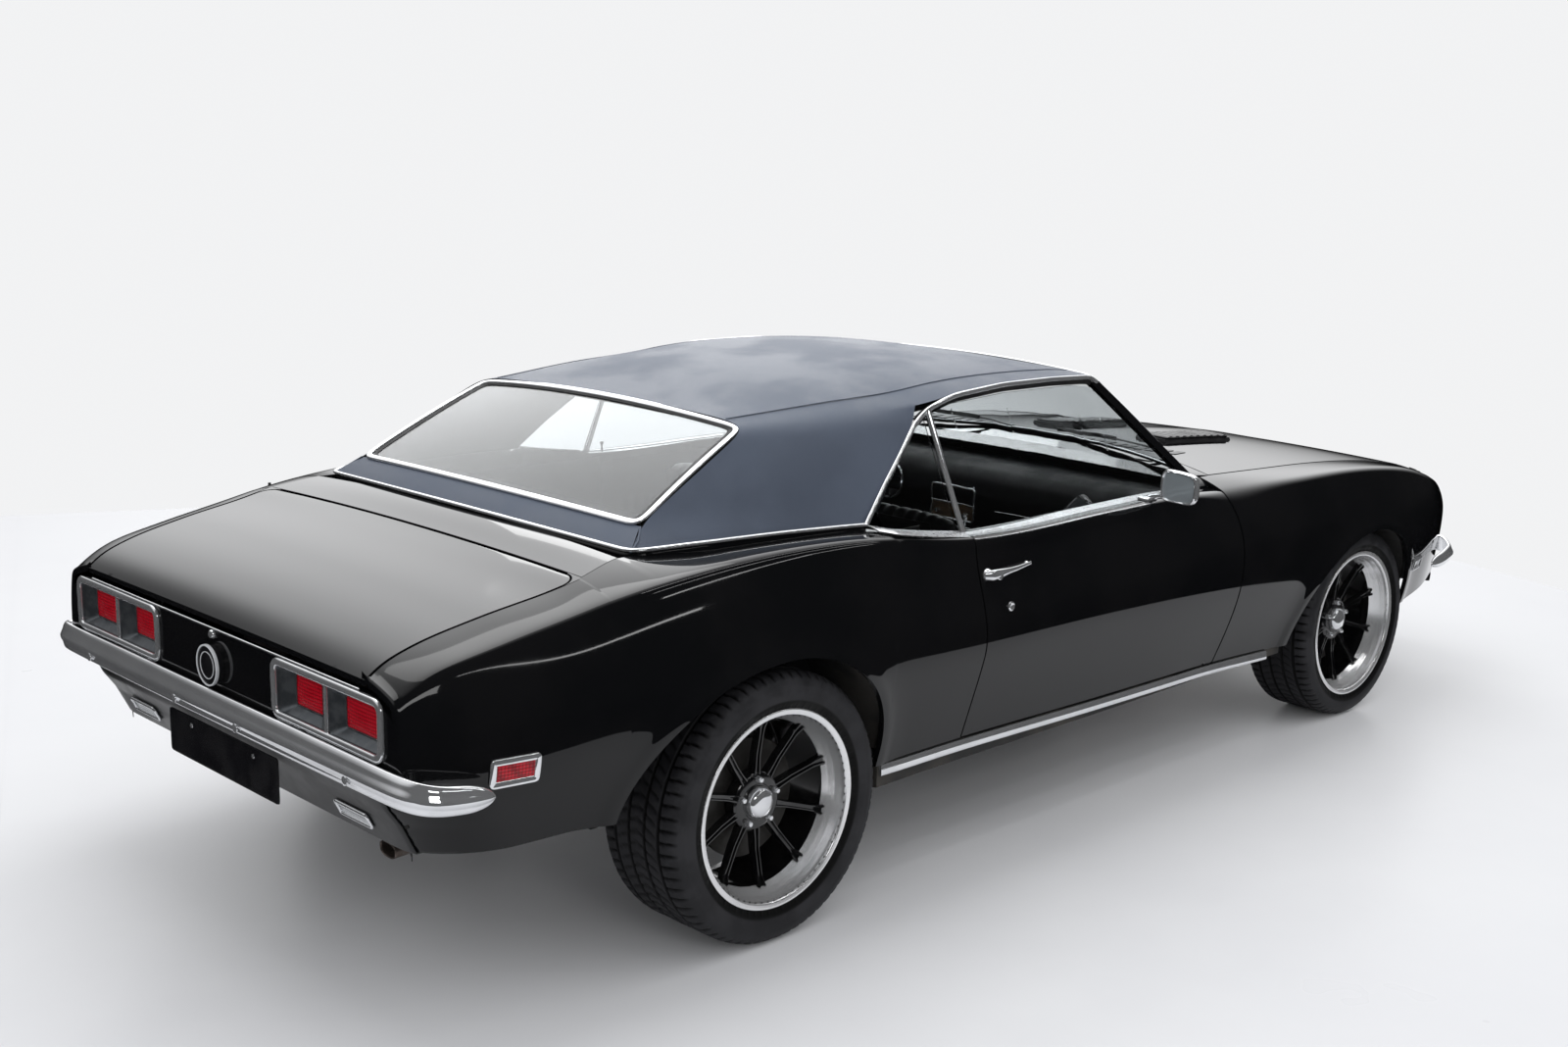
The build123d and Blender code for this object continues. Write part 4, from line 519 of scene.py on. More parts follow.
# x, height on the middle plane, height at the shut line beside the hood or lid
TAIL_DECK = np.array([
    (-2312, 803, 800), (-2285, 828, 822), (-2215, 860, 852), (-2040, 904, 892), (-1860, 936, 922),
    (-1775, 952, 940),
    (-1640, 982, 962), (-1330, 985, 972), (-900, 960, 950),
])
NOSE_DECK = np.array([
    (620, 936, 902), (947, 915, 883), (1319, 888, 861), (1566, 864, 840), (1800, 834, 812),
    (2000, 796, 778),
    (2100, 772, 752), (2220, 732, 722),
])
# x, height on the middle plane, height and half width at the drip rail
ROOF = np.array([
    (205, 1254, 1236, 600), (100, 1276, 1244, 622), (-250, 1308, 1248, 640), (-460, 1312, 1238, 642),
    (-600, 1308, 1222, 640), (-850, 1288, 1216, 618), (-1135, 1240, 1210, 572),
])
# x, half width and height of the shoulder's inner edge
SHOULDER = np.array([
    (-2312, 665, 800), (-1775, 695, 940), (-1640, 660, 962), (-912, 728, 948), (-880, 802, 942),
    (-609, 800, 903),
])
REAR_ARCH = (-1330, 390, 716, 374, 462)      # axle x, base z, top z, reach ahead, reach behind
FRONT_ARCH = (1413, 335, 654, 345, 402)
DOOR = (-604.0, 604.5)
SHUT = 5.0
TAIL_X, LID_FRONT, HOOD_FRONT = -2310.0, -1775.0, 2030.0
FINE = np.arange(-2500.0, 2400.0, 5.0)


def faired(table, spread):
    """Columns of a table as curves along the car: cubic Hermite with mean slopes, straight past the ends,
    then a bell mean."""
    rows = table[np.argsort(table[:, 0])]
    xs = rows[:, 0]
    x = np.clip(FINE, xs[0], xs[-1])
    i = np.clip(np.searchsorted(xs, x, "right") - 1, 0, len(xs) - 2)
    h = xs[i + 1] - xs[i]
    t = (x - xs[i]) / h
    curves = []
    for ys in rows[:, 1:].T:
        steps = np.diff(ys) / np.diff(xs)
        slope = np.r_[steps[0], (steps[1:] + steps[:-1]) / 2, steps[-1]]
        value = ((2 * t**3 - 3 * t**2 + 1) * ys[i] + (t**3 - 2 * t**2 + t) * h * slope[i]
                 + (3 * t**2 - 2 * t**3) * ys[i + 1] + (t**3 - t**2) * h * slope[i + 1])
        value += steps[0] * np.minimum(FINE - xs[0], 0) + steps[-1] * np.maximum(FINE - xs[-1], 0)
        curves.append(bell(value, spread / 5))
    return curves


SIDE_CURVES = faired(SIDE, 38)
TAIL_CURVES = faired(TAIL_DECK, 16)
NOSE_CURVES = faired(NOSE_DECK, 34)
ROOF_CURVES = faired(ROOF, 30)
SHOULDER_CURVES = [bell(np.interp(FINE, SHOULDER[:, 0], SHOULDER[:, k]), 4) for k in (1, 2)]


def at(curves, x):
    """Value of each curve at x."""
    return [np.interp(x, FINE, c) for c in curves]


def arch_gap(arch, x, z):
    """Distance outside the wheel opening: (q - 1) * mean radius, q the half-oval's own radius at (x, z)."""
    cx, base, top, ahead, behind = arch
    reach = np.where(x > cx, ahead, behind)
    q = np.hypot((x - cx) / reach, np.maximum(z - base, 0) / (top - base))
    return (q - 1) * np.sqrt(reach * (top - base))


def arch_swell(x, z):
    """Flare and rolled lip round the openings: a bell of 7 mm over 60 mm and a step of 4 mm over the last
    26 mm."""
    total = 0.0
    for arch in (REAR_ARCH, FRONT_ARCH):
        d = np.maximum(arch_gap(arch, x, z), 0)
        step = np.clip((36 - d) / 12, 0, 1)
        total = total + 7 * np.exp(-(d / 60) ** 2) + 4 * step * step * (3 - 2 * step)
    return total


def side_y(x, z):
    """Half width of the body: below the widest line a hyperbola, above it a power curve or an S curve."""
    crease_y, crease_z, wide_y, wide_z, sill_y, sill_z, c, power, flat = at(SIDE_CURVES, x)
    t = np.clip((wide_z - z) / (wide_z - sill_z), 0, 1.3)
    low = (np.hypot(t, c) - c) / (np.hypot(1, c) - c)
    s = np.clip((z - wide_z) / (crease_z - wide_z), 0, 1)
    high = flat * (3 * s**2 - 2 * s**3) + (1 - flat) * s**power
    return wide_y - (wide_y - sill_y) * low - (wide_y - crease_y) * high + arch_swell(x, z)


def deck_z(curves, x, y, half):
    """Crowned sheet: centre - (centre - edge) * (y / half)^2."""
    centre, edge = at(curves, x)
    return centre - (centre - edge) * (y / half) ** 2


def lid_half(x):
    """Half width of the trunk lid: a straight taper."""
    return 690 + 30 * (x + 1775) / 537


LID_TURN = 46.0                     # radius of the lid's front corners


def rounded_lid_half(x):
    """Half width of the lid, drawn in round its front corners: half - r * (1 - sqrt(1 - ((r - run) /
    r)^2))."""
    q = np.clip((LID_TURN - (LID_FRONT - x)) / LID_TURN, 0, 1)
    return lid_half(x) - LID_TURN * (1 - np.sqrt(1 - q * q))


def hood_half(x):
    """Half width of the hood: a straight taper."""
    return 728 - 73 * (x - 672) / 1358


def arch_low(arch, x, sill):
    """Lower edge of a side panel at x: the sill, or the half-oval opening above it."""
    cx, base, top, ahead, behind = arch
    q = (x - cx) / np.where(x > cx, ahead, behind)
    oval = base + (top - base) * np.sqrt(np.clip(1 - q * q, 0, 1))
    return np.where(np.abs(q) < 1, np.maximum(oval, sill), sill)


def stations(x0, x1, step, arch=None):
    """Even stations, with those inside an opening spaced as a cosine so that they crowd at its ends."""
    if arch is None:
        return np.linspace(x0, x1, int((x1 - x0) / step) + 1)
    cx, ahead, behind = arch[0], arch[3], arch[4]
    a = np.linspace(math.pi / 2, math.pi, 56)
    rear = cx + behind * np.cos(a)
    front = cx - ahead * np.cos(a)
    inside = np.unique(np.r_[rear, front])
    low = np.linspace(x0, cx - behind - 1, int((cx - behind - x0) / step) + 2)
    high = np.linspace(cx + ahead + 1, x1, int((x1 - cx - ahead) / step) + 2)
    return np.r_[low, inside, high]


def normals(grid):
    """Unit normals of a grid: cross product of its two gradients."""
    n = np.cross(np.gradient(grid, axis=0), np.gradient(grid, axis=1))
    return n / np.maximum(np.linalg.norm(n, axis=2, keepdims=True), 1e-9)


def panel_side(x, low, inner_y, inner_z, crown=3.0, turn_in=16.0):
    """Body side from its lower edge over the crease to the inner edge of the shoulder.

    Rows climb at even heights, then cross the shoulder on a shallow arc; a bell mean of 13 mm rounds the
    crease. A first and last row turn the edges inwards."""
    crease_y, crease_z = at(SIDE_CURVES, x)[:2]
    knee = np.maximum(crease_z - 90, low + 10)
    a, b = np.linspace(0, 1, 42), np.linspace(0, 1, 16)[1:]
    z = np.concatenate([low[:, None] + (knee - low)[:, None] * a,
                        knee[:, None] + (crease_z - knee)[:, None] * b], axis=1)
    y = side_y(np.repeat(x[:, None], z.shape[1], 1), z)
    run = np.hypot(inner_y - crease_y, inner_z - crease_z)
    near = np.minimum(60, 0.7 * run) / run
    q = np.concatenate([near[:, None] * np.arange(1, 11) / 10,
                        near[:, None] + (1 - near)[:, None] * np.arange(1, 8) / 7], axis=1)
    top_y = y[:, -1:] + (inner_y[:, None] - y[:, -1:]) * q
    top_z = crease_z[:, None] + (inner_z - crease_z)[:, None] * q + crown * 4 * q * (1 - q)
    rows_y, rows_z = np.concatenate([y, top_y], axis=1), np.concatenate([z, top_z], axis=1)
    rows_y, rows_z = bell(rows_y, 2.2, axis=1), bell(rows_z, 2.2, axis=1)
    rows_y = np.concatenate([rows_y[:, :1] - turn_in, rows_y[:, :1] - 1.2, rows_y, rows_y[:, -1:]], axis=1)
    rows_z = np.concatenate([rows_z[:, :1] + 1, rows_z[:, :1] - 0.4, rows_z, rows_z[:, -1:] - turn_in],
                            axis=1)
    return points_of(np.repeat(x[:, None], rows_y.shape[1], 1), rows_y, rows_z)


def turn_ends(grid, first=14.0, last=14.0):
    """Adds an end station at each end of a side panel, moved in along the normals, so that shut lines
    have depth."""
    n = normals(grid)
    n *= np.sign((n * np.array([0, 1, 0.6])).sum(axis=2, keepdims=True))
    rows = [grid]
    if first:
        rows.insert(0, (grid[0] - first * n[0] * np.array([0, 1, 1]))[None])
    if last:
        rows.append((grid[-1] - last * n[-1] * np.array([0, 1, 1]))[None])
    return np.concatenate(rows)


def both_sides(name, grid, finish_name, stands_for, facing, **more):
    """One piece of a left side sheet and its mirror image."""
    piece(name, pair([sheet(grid, facing=facing)]), finish_name, stands_for=stands_for, **more)


def valance_x(z):
    """Rear face below the bumper, which runs forward as it goes down."""
    return np.interp(z, [398, 470, 515, 559], [-2222, -2258, -2290, -2309])


TURN_Y, TURN_X = 628.0, 200.0       # lower tail corner, an ellipse in plan: where it starts, how long it is
SEAM_Y = 690.0                      # where the valance meets the quarter


def turned_under(grid):
    """Below the bumper the side follows an ellipse in plan, from the valance's seam to the full width.

    y = turn_y + (side - turn_y) * sqrt(1 - ((rear + turn_x - x) / turn_x)^2), mixed in over the bumper's
    height."""
    x, y, z = np.moveaxis(grid, -1, 0)
    share = np.clip((604 - z) / 36, 0, 1)
    share = share * share * (3 - 2 * share)
    rear = valance_x(z)
    seam = rear + TURN_X * (1 - math.sqrt(1 - ((SEAM_Y - TURN_Y) / TURN_X) ** 2))
    moved = x + (np.maximum(x, seam) - x) * share
    q = np.clip((rear + TURN_X - moved) / TURN_X, 0, 1)
    y = y + (TURN_Y + (y - TURN_Y) * np.sqrt(1 - q * q) - y) * share * (x < -2000)
    return points_of(np.where(x < -2000, moved, x), y, z)


def quarter_panels():
    """Rear quarters: body side round the wheel opening, shoulder to the lid, roof foot and side window,
    rounded tail corner."""
    x = stations(TAIL_X + 9, -609, 14, REAR_ARCH)
    sill = np.minimum(at(SIDE_CURVES, x)[5], np.interp(x, [-2310, -1900, -1800], [400, 412, 430]))
    inner_y, inner_z = at(SHOULDER_CURVES, x)
    inner_y = inner_y + np.where(x < LID_FRONT, SHUT, 0)
    inner_z = np.where(x < -1640, at(TAIL_CURVES, x)[1], inner_z)
    grid = turn_ends(panel_side(x, arch_low(REAR_ARCH, x, sill), inner_y, inner_z), first=0)
    n = normals(grid)
    n *= np.sign((n * np.array([0, 1, 0.6])).sum(axis=2, keepdims=True))
    wrap = []
    for a in (0.35, 0.8, 1.2, 1.5708):
        moved = grid[0] - n[0] * np.array([0, 1, 1]) * 9 * (1 - math.cos(a))
        moved[:, 0] = grid[0, :, 0] - 9 * math.sin(a)
        wrap.append(moved)
    flat = grid[0] - n[0] * np.array([0, 1, 1]) * 24
    flat[:, 0] = TAIL_X
    grid = np.concatenate([flat[None], np.array(wrap)[::-1], grid])
    both_sides("quarter_skins", turned_under(grid), "paint", ["quarter_panels"], (0, 1, 0.3))


def front_fenders():
    """Front fenders: body side round the wheel opening and top up to the hood, drawn in at the nose."""
    x = stations(611, 2181, 14, FRONT_ARCH)
    sill = at(SIDE_CURVES, x)[5]
    grid = panel_side(x, arch_low(FRONT_ARCH, x, sill), hood_half(x) + SHUT, at(NOSE_CURVES, x)[1], crown=2)
    grid = turn_ends(grid, first=10, last=0)
    n = normals(grid)
    n *= np.sign((n * np.array([0, 1, 0.6])).sum(axis=2, keepdims=True))
    wrap = []
    for a in (0.35, 0.8, 1.2, 1.5708):
        moved = grid[-1] - n[-1] * np.array([0, 1, 1]) * 12 * (1 - math.cos(a))
        moved[:, 0] = grid[-1, :, 0] + 9 * math.sin(a)
        wrap.append(moved)
    flat = grid[-1] - n[-1] * np.array([0, 1, 1]) * 34
    flat[:, 0] = 2188
    low = flat[flat[:, 2] < 524]
    z = np.clip(low[:, 2], 311, 511)
    end = points_of(np.interp(z, [311, 430, 511], [2166, 2213, 2196]) - 41, np.full(len(z), 634.0), z)
    f = np.linspace(0, 1, 16)[:, None, None]
    ends = low + (end - low) * f + np.array([9.0, 0, 0]) * np.sin(math.pi * f)
    piece("front_valance_ends", pair([sheet(ends, facing=(1, 0, 0))]), "satin_paint", thick=2)
    grid = np.concatenate([grid, np.array(wrap), flat[None]])
    both_sides("fender_skins", grid, "paint", ["front_fenders"], (0, 1, 0.3))


def glass_y(x, z):
    """Outer face of the side glass: belt half width, leaning in with height."""
    belt = 797 - (x + 590) * 47 / 1130
    return belt - (belt - 641) * (z - 900) / 338


def door(side):
    """Outer skin, ends, top ledge and inner shell of a door, as a closed section carried along the car."""
    x = stations(DOOR[0], DOOR[1], 14)
    _, crease_z, *_, sill = at(SIDE_CURVES, x)[:6]
    skin = panel_side(x, sill + SHUT, glass_y(x, crease_z) + 3, crease_z + 5, crown=2, turn_in=0.5)
    top = skin[:, -1:]
    down = np.linspace(0, 1, 12)[None, :, None]
    inner_top = top - np.array([0, 22, 2])
    inner_low = points_of(x, np.full_like(x, 776), sill + SHUT)[:, None]
    inner_top[..., 1] = np.maximum(inner_top[..., 1] - 6, 772)
    inner = inner_top + (inner_low - inner_top) * down
    grid = np.concatenate([skin, inner], axis=1)
    cap = [np.broadcast_to(g.mean(0), g.shape)[None] for g in (grid[0], grid[-1])]
    parts = [sheet(np.concatenate([cap[0], grid[:1], grid, grid[-1:], cap[1]]), around=True)]
    body = f"door_{side}"
    if side == "right":
        parts = other_side(parts)
    piece(f"{body}_shell", parts, "paint", body=body, stands_for=[body], bevel=1.5, slot="body_paint")


def crowned(curves, x_of, half_of, u, s, lift=0.0):
    """Sheet over u across and s along: x = x_of(s, u), y = u * half_of(x), z crowned."""
    su, ss = np.meshgrid(u, s)
    x = x_of(ss, su)
    half = half_of(x)
    return points_of(x, su * half, deck_z(curves, x, su * half, half) + lift)


def edge_down(grid, depth):
    """Extra rows and columns round a sheet that drop straight down by depth."""
    down = np.array([0, 0, -depth])
    grid = np.concatenate([grid[:1] + down, grid, grid[-1:] + down])
    return np.concatenate([grid[:, :1] + down, grid, grid[:, -1:] + down], axis=1)


def hood():
    """Hood: crowned sheet with a bowed rear edge and a faint middle ridge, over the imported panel."""
    wide, deep, rear_x = 728, 178, 672      # half width, depth and corner of the rear edge's arc
    bow = (wide**2 + deep**2) / (2 * deep)
    u, s = np.linspace(-1, 1, 121), np.linspace(0, 1, 110)

    def x_of(ss, su):
        """From the rear edge's arc to the front edge."""
        rear = rear_x + deep - bow + np.sqrt(bow**2 - (su * 727) ** 2)
        return rear + (HOOD_FRONT - rear) * ss
    grid = crowned(NOSE_CURVES, x_of, hood_half, u, s, 1.3)
    fade = np.sin(math.pi * np.clip(s, 0, 1))[:, None] ** 0.5
    grid[..., 2] += 3.0 * np.exp(-(grid[..., 1] / 70) ** 2) * fade
    piece("hood_skin", [sheet(edge_down(grid, 14), facing=(0, 0, 1))], "paint", body="hood", bevel=1.2)
    y0, rows = 225, []
    for x0 in 1105 + 42 * np.arange(9):
        xs = np.linspace(x0, x0 + 34, 8)[:, None]
        ys = np.linspace(y0 - 52, y0 + 52, 12)[None, :]
        rise = 6 * np.sin(math.pi * (xs - x0) / 34) ** 0.7
        z = deck_z(NOSE_CURVES, xs + 0 * ys, ys + 0 * xs, hood_half(xs)) + 13.5 + rise
        rows.append(sheet(edge_down(points_of(xs, ys, z), 7), facing=(0, 0, 1)))
    piece("hood_vents", pair(rows), "black", body="hood")
    path = run_along([(1092, y0 - 58, 0), (1468, y0 - 58, 0), (1468, y0 + 58, 0), (1092, y0 + 58, 0)], 120,
                     8, closed=True)
    path[:, 2] = deck_z(NOSE_CURVES, path[:, 0], path[:, 1], hood_half(path[:, 0])) + 14
    piece("hood_vent_frames", pair([tube(path, round_bar(4, 3, 2.5, 12), closed=True)]), "plastic",
          body="hood")


def trunk_lid():
    """Trunk lid: crowned sheet, 12 mm thick, and its two curved hinge arms."""
    u = np.linspace(-1, 1, 111)
    s = np.r_[(1 - np.cos(np.linspace(0, math.pi / 2, 14))) * 0.0857, np.linspace(0.0857, 1, 70)[1:]]
    grid = crowned(TAIL_CURVES, lambda ss, su: LID_FRONT - (LID_FRONT + 2311) * ss, rounded_lid_half, u, s)
    parts = [sheet(edge_down(grid, 13), facing=(0, 0, 1))]
    inner = edge_down(grid - np.array([0, 0, 13]), 0)
    parts.append(sheet(inner, facing=(0, 0, -1)))
    arm = run_along([(-1665, 520, 925), (-1689, 520, 825), (-1745, 520, 807), (-1793, 520, 847),
                     (-1797, 520, 932)], 50, 12)
    arms = [tube(arm, round_bar(8, 8, 5, 16), up=(0, 1, 0)),
            turned_about((-1665, 511, 925), (0, 1, 0), [(0, 0), (0, 12), (18, 12), (18, 0)])]
    piece("trunk_lid_skin", parts + pair(arms), "paint", body="trunk_lid", stands_for=["trunk_lid"],
          bevel=1.2)


def lid_corner_fills():
    """Painted corners of the opening: from an arc beside the lid's corner out to the square corner behind
    it."""
    a = np.linspace(0, math.pi / 2, 20)[:, None]
    t = np.linspace(0, 1, 5)[None, :]
    radius = LID_TURN + SHUT
    out = radius * (1 + t * (1 / np.maximum(np.sin(a), np.cos(a)) - 1))
    x = LID_FRONT - LID_TURN + out * np.sin(a) + 3 * np.sin(a) * t
    y = lid_half(LID_FRONT) - LID_TURN + out * np.cos(a)
    z = deck_z(TAIL_CURVES, x, y, lid_half(LID_FRONT))
    piece("lid_corner_fills", pair([sheet(edge_down(points_of(x, y, z), 9), facing=(0, 0, 1))]), "paint")


def deck_and_nose():
    """Panel ahead of the lid and panel ahead of the hood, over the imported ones."""
    u = np.linspace(-1, 1, 81)
    half = lambda x: np.interp(x, FINE, SHOULDER_CURVES[0]) - 0.3
    filler = crowned(TAIL_CURVES, lambda ss, su: LID_FRONT + 8 + (-1640 - LID_FRONT - 8) * ss, half, u,
                     np.linspace(0, 1, 20), 0.8)
    piece("deck_filler_skin", [sheet(edge_down(filler, 9), facing=(0, 0, 1))], "paint", bevel=1.2)
    nose = crowned(NOSE_CURVES, lambda ss, su: 2038 + (2213 - 2038) * ss, lambda x: hood_half(x) + 4, u,
                   np.linspace(0, 1, 24), 1.0)
    piece("nose_skin", [sheet(edge_down(nose, 9), facing=(0, 0, 1))], "paint", bevel=1.2)


# ------------------------------------------------------------------ roof
def roof_point(x, f):
    """Roof at half-width share f: z = centre - (centre - rail) * f^2.4."""
    centre, rail_z, rail_y = at(ROOF_CURVES, x)
    return points_of(x, rail_y * f, centre - (centre - rail_z) * np.abs(f) ** 2.4)


def roof_skin():
    """Vinyl roof: crowned top, flowing over the rail into the rear pillars, and the strip under the rear
    window."""
    f = np.linspace(0, 1, 40)
    x = np.linspace(204, -608, 90)
    top = roof_point(np.repeat(x[:, None], 40, 1), np.repeat(f[None], 90, 0))
    top[:, :, 0] += ((1 - f**2)[None] * 10 * np.clip((x - 100) / 104, 0, 1)[:, None])
    p = np.linspace(0, 1, 64)[:, None]
    head_x = -608 - 540 * p - 26 * p**2 * (1 - f[None] ** 2)
    over = roof_point(head_x, np.repeat(f[None], 64, 0))
    t = np.linspace(0, 1, 46)[None, :, None]
    rear_line = run_along([(-1148, 572, 1208), (-1524, 607, 1016), (-1596, 657, 967)], 46, 14)
    head = over[:, -1:, :]
    front = run_along([(-608, 640, 1222), (-640, 663, 1184), (-708, 688, 1124), (-818, 723, 1039),
                       (-908, 757, 955)], 46, 14)
    share = p[:, :, None]
    foot_blend = front[None] * (1 - share) + rear_line[None] * share
    shift = (head - (front[None, :1] * (1 - share) + rear_line[None, :1] * share)) * (1 - t)
    pillar = foot_blend + shift
    pillar[..., 1] += 14 * np.sin(math.pi * p) * np.sin(math.pi * t[..., 0]) ** 0.8
    section = np.concatenate([over, pillar[:, 1:]], axis=1)
    soft = bell(section, 3.4, axis=1)
    weight = np.clip(p / 0.22, 0, 1)[:, :, None]
    section = section * (1 - weight) + soft * weight
    foot = section[:, -1, :]
    foot[:, 2] = np.interp(foot[:, 0], [-1596, -1434, -1190, -905], [967, 972, 966, 953])
    section[:, -1, :] = foot
    parts = pair([sheet(top, facing=(0, 0.2, 1)), sheet(section, facing=(0, 1, 1))])
    u = np.linspace(-1, 1, 90)[None, :]
    v = np.linspace(0, 1, 14)[:, None]
    upper = points_of(-1526 - 36 * (1 - u**2), 606 * u, 1012 + 17 * (1 - u**2))
    lower = points_of(-1596 - 46 * (1 - u**2), 657 * u, 967 + 18 * (1 - u**2))
    strip = upper + (lower - upper) * v[:, :, None]
    strip[..., 2] += 3 * np.sin(math.pi * v)
    parts.append(sheet(strip, facing=(-0.3, 0, 1)))
    piece("vinyl_roof_skin", parts, "vinyl", stands_for=["roof"], sharp=60)
    inner = np.concatenate([top, section[1:, :40]])[:, :40] - np.array([0, 0, 24.0])
    inner[..., 1] *= 0.965
    piece("headliner", pair([sheet(inner, facing=(0, 0, -1))]), "liner", sharp=60)
    inside = section[::2, 38:] * 1.0
    inside[..., 1] -= 26
    piece("pillar_trims", pair([sheet(inside, facing=(0, -1, 0))]), "liner", sharp=60)
    seams = []
    line = roof_point(np.linspace(200, -1150, 80), np.full(80, 0.86))
    line[:, 2] += 1.0
    seams.append(tube(line, round_bar(2.2, 1.4, 2, 8)))
    corner = run_along([(-1530, 612, 1010), (-1560, 640, 985), (-1592, 655, 968)], 12)
    corner[:, 2] += 3.0
    seams.append(tube(corner, round_bar(2.4, 1.4, 2, 8)))
    piece("vinyl_seams", pair(seams), "vinyl")


# ------------------------------------------------------------------ windows and bright trim
def pane(foot, head, rows=30, cols=60, shift=0.0):
    """Curved pane: straight between two arcs (x, half, z, bow in x, bow in z), bulged 6 mm between them."""
    u = np.linspace(-1, 1, cols)[None, :]
    v = np.linspace(0, 1, rows)[:, None]
    ends = [points_of(x + bx * (1 - u**2), half * u, z + bz * (1 - u**2)) for x, half, z, bx,
            bz in (foot, head)]
    grid = ends[0] + (ends[1] - ends[0]) * v[:, :, None]
    grid[..., 2] += 6 * np.sin(math.pi * v)
    grid[..., 0] += shift
    return grid


REAR_GLASS = ((-1524, 600, 1012, -36, 16), (-1150, 548, 1199, -24, 27))
WINDSHIELD = ((560, 708, 918, 160, 21), (222, 590, 1226, 40, 18))


def round_the(grid, count=400, rounding=16.0):
    """Closed line round a pane's edge with its corners turned smoothly."""
    loop = np.concatenate([grid[0], grid[1:, -1], grid[-1, ::-1][1:], grid[::-1, 0][1:-1]])
    return run_along(loop, count, rounding, closed=True)


def windows():
    """Windshield and rear window panes with seals and bright surrounds."""
    rear, front = pane(*REAR_GLASS), pane(*WINDSHIELD)
    piece("rear_window_pane", [sheet(rear, facing=(-1, 0, 1))], "glass", stands_for=["rear_window"],
          thick=4, sharp=80)
    piece("windshield_pane", [sheet(front, facing=(1, 0, 1))], "glass", stands_for=["windshield"], thick=4,
          sharp=80)
    for name, grid, up, wide, turn in (("rear_window", rear, (-0.45, 0, 0.9), 9, 24),
                                       ("windshield", front, (0.67, 0, 0.74), 8, 15)):
        loop = round_the(grid, 420, turn)
        lifted = loop + np.array(up) * 5
        piece(f"{name}_surround", [tube(lifted, round_bar(wide, 4.5, 2.6, 20), up=up, closed=True)],
              "chrome")
        middle = loop.mean(0)
        small = middle + (loop - middle) * np.array([0.974, 0.970, 0.974])
        piece(f"{name}_seal", [tube(small + np.array(up) * 1.5, round_bar(9, 3.5, 2.5, 12), up=up,
                                    closed=True)], "seal")


# Drip rail from the quarter window's foot over the door to the windshield post, and down to the cowl.
RAIL = [(-918, 764, 958), (-818, 727, 1036), (-708, 692, 1121), (-640, 668, 1178), (-572, 652, 1210),
        (-459, 645, 1236),
        (-248, 644, 1249), (-24, 644, 1247), (150, 636, 1238), (205, 616, 1226), (300, 634, 1150),
        (420, 668, 1046),
        (545, 712, 936)]


def bright_lines():
    """Drip rail, vinyl edge trim, belt mouldings, quarter window bars and rocker mouldings."""
    rail = run_along(RAIL, 160, 22)
    piece("drip_rails", pair([tube(rail, round_bar(7, 4.5, 2.6, 16), up=(0, 1, 0.25))]), "chrome")
    shade = rail[(rail[:, 0] > -610) & (rail[:, 0] < 190)] - np.array([0, 11, 9])
    piece("drip_rail_seals", pair([tube(shade, round_bar(12, 6, 2.6, 14), up=(0, 1, 0.25))]), "seal")
    x = np.linspace(-915, -1590, 60)
    edge_y = np.interp(x, [-1596, -1560, -1434, -1190, -915], [660, 676, 712, 731, 762])
    edge_z = np.interp(x, [-1596, -1434, -1190, -1000, -915], [969, 974, 968, 961, 957])
    left = points_of(x, edge_y, edge_z)
    u = np.linspace(1, -1, 50)
    back = points_of(-1598 - 46 * (1 - u**2), 657 * u, 968 + 18 * (1 - u**2))
    line = run_along(np.concatenate([left, back, (left * np.array([1, -1, 1]))[::-1]]), 320, 22)
    skirt = np.stack([line + np.array([0, 0, 3.0]), line - np.array([0, 0, 14.0]),
                      line * np.array([1.003, 1.006, 1]) - np.array([0, 0, 34.0])])
    piece("roof_foot_skirt", [sheet(skirt, facing=(0, 0, 1))], "paint", thick=2)
    piece("vinyl_edge_trim", [tube(line + np.array([0, 0, 3]), round_bar(7, 5, 2.4, 14))], "chrome")
    belts()
    bar = run_along([(-588, 806, 900), (-585, 730, 1060), (-578, 660, 1206)], 30)
    piece("quarter_window_bars", pair([tube(bar, round_bar(9, 5, 3, 14), up=(0, 1, 0.45))]), "chrome")
    x = np.linspace(-930, 905, 120)
    sill_y, sill_z = at(SIDE_CURVES, x)[4:6]
    line = points_of(x, sill_y + 3.5, sill_z - 17)
    piece("rocker_trim", pair([tube(line, round_bar(15, 4.5, 3, 16), up=(0, 1, 0.1))]), "chrome",
          stands_for=["rocker_mouldings"])


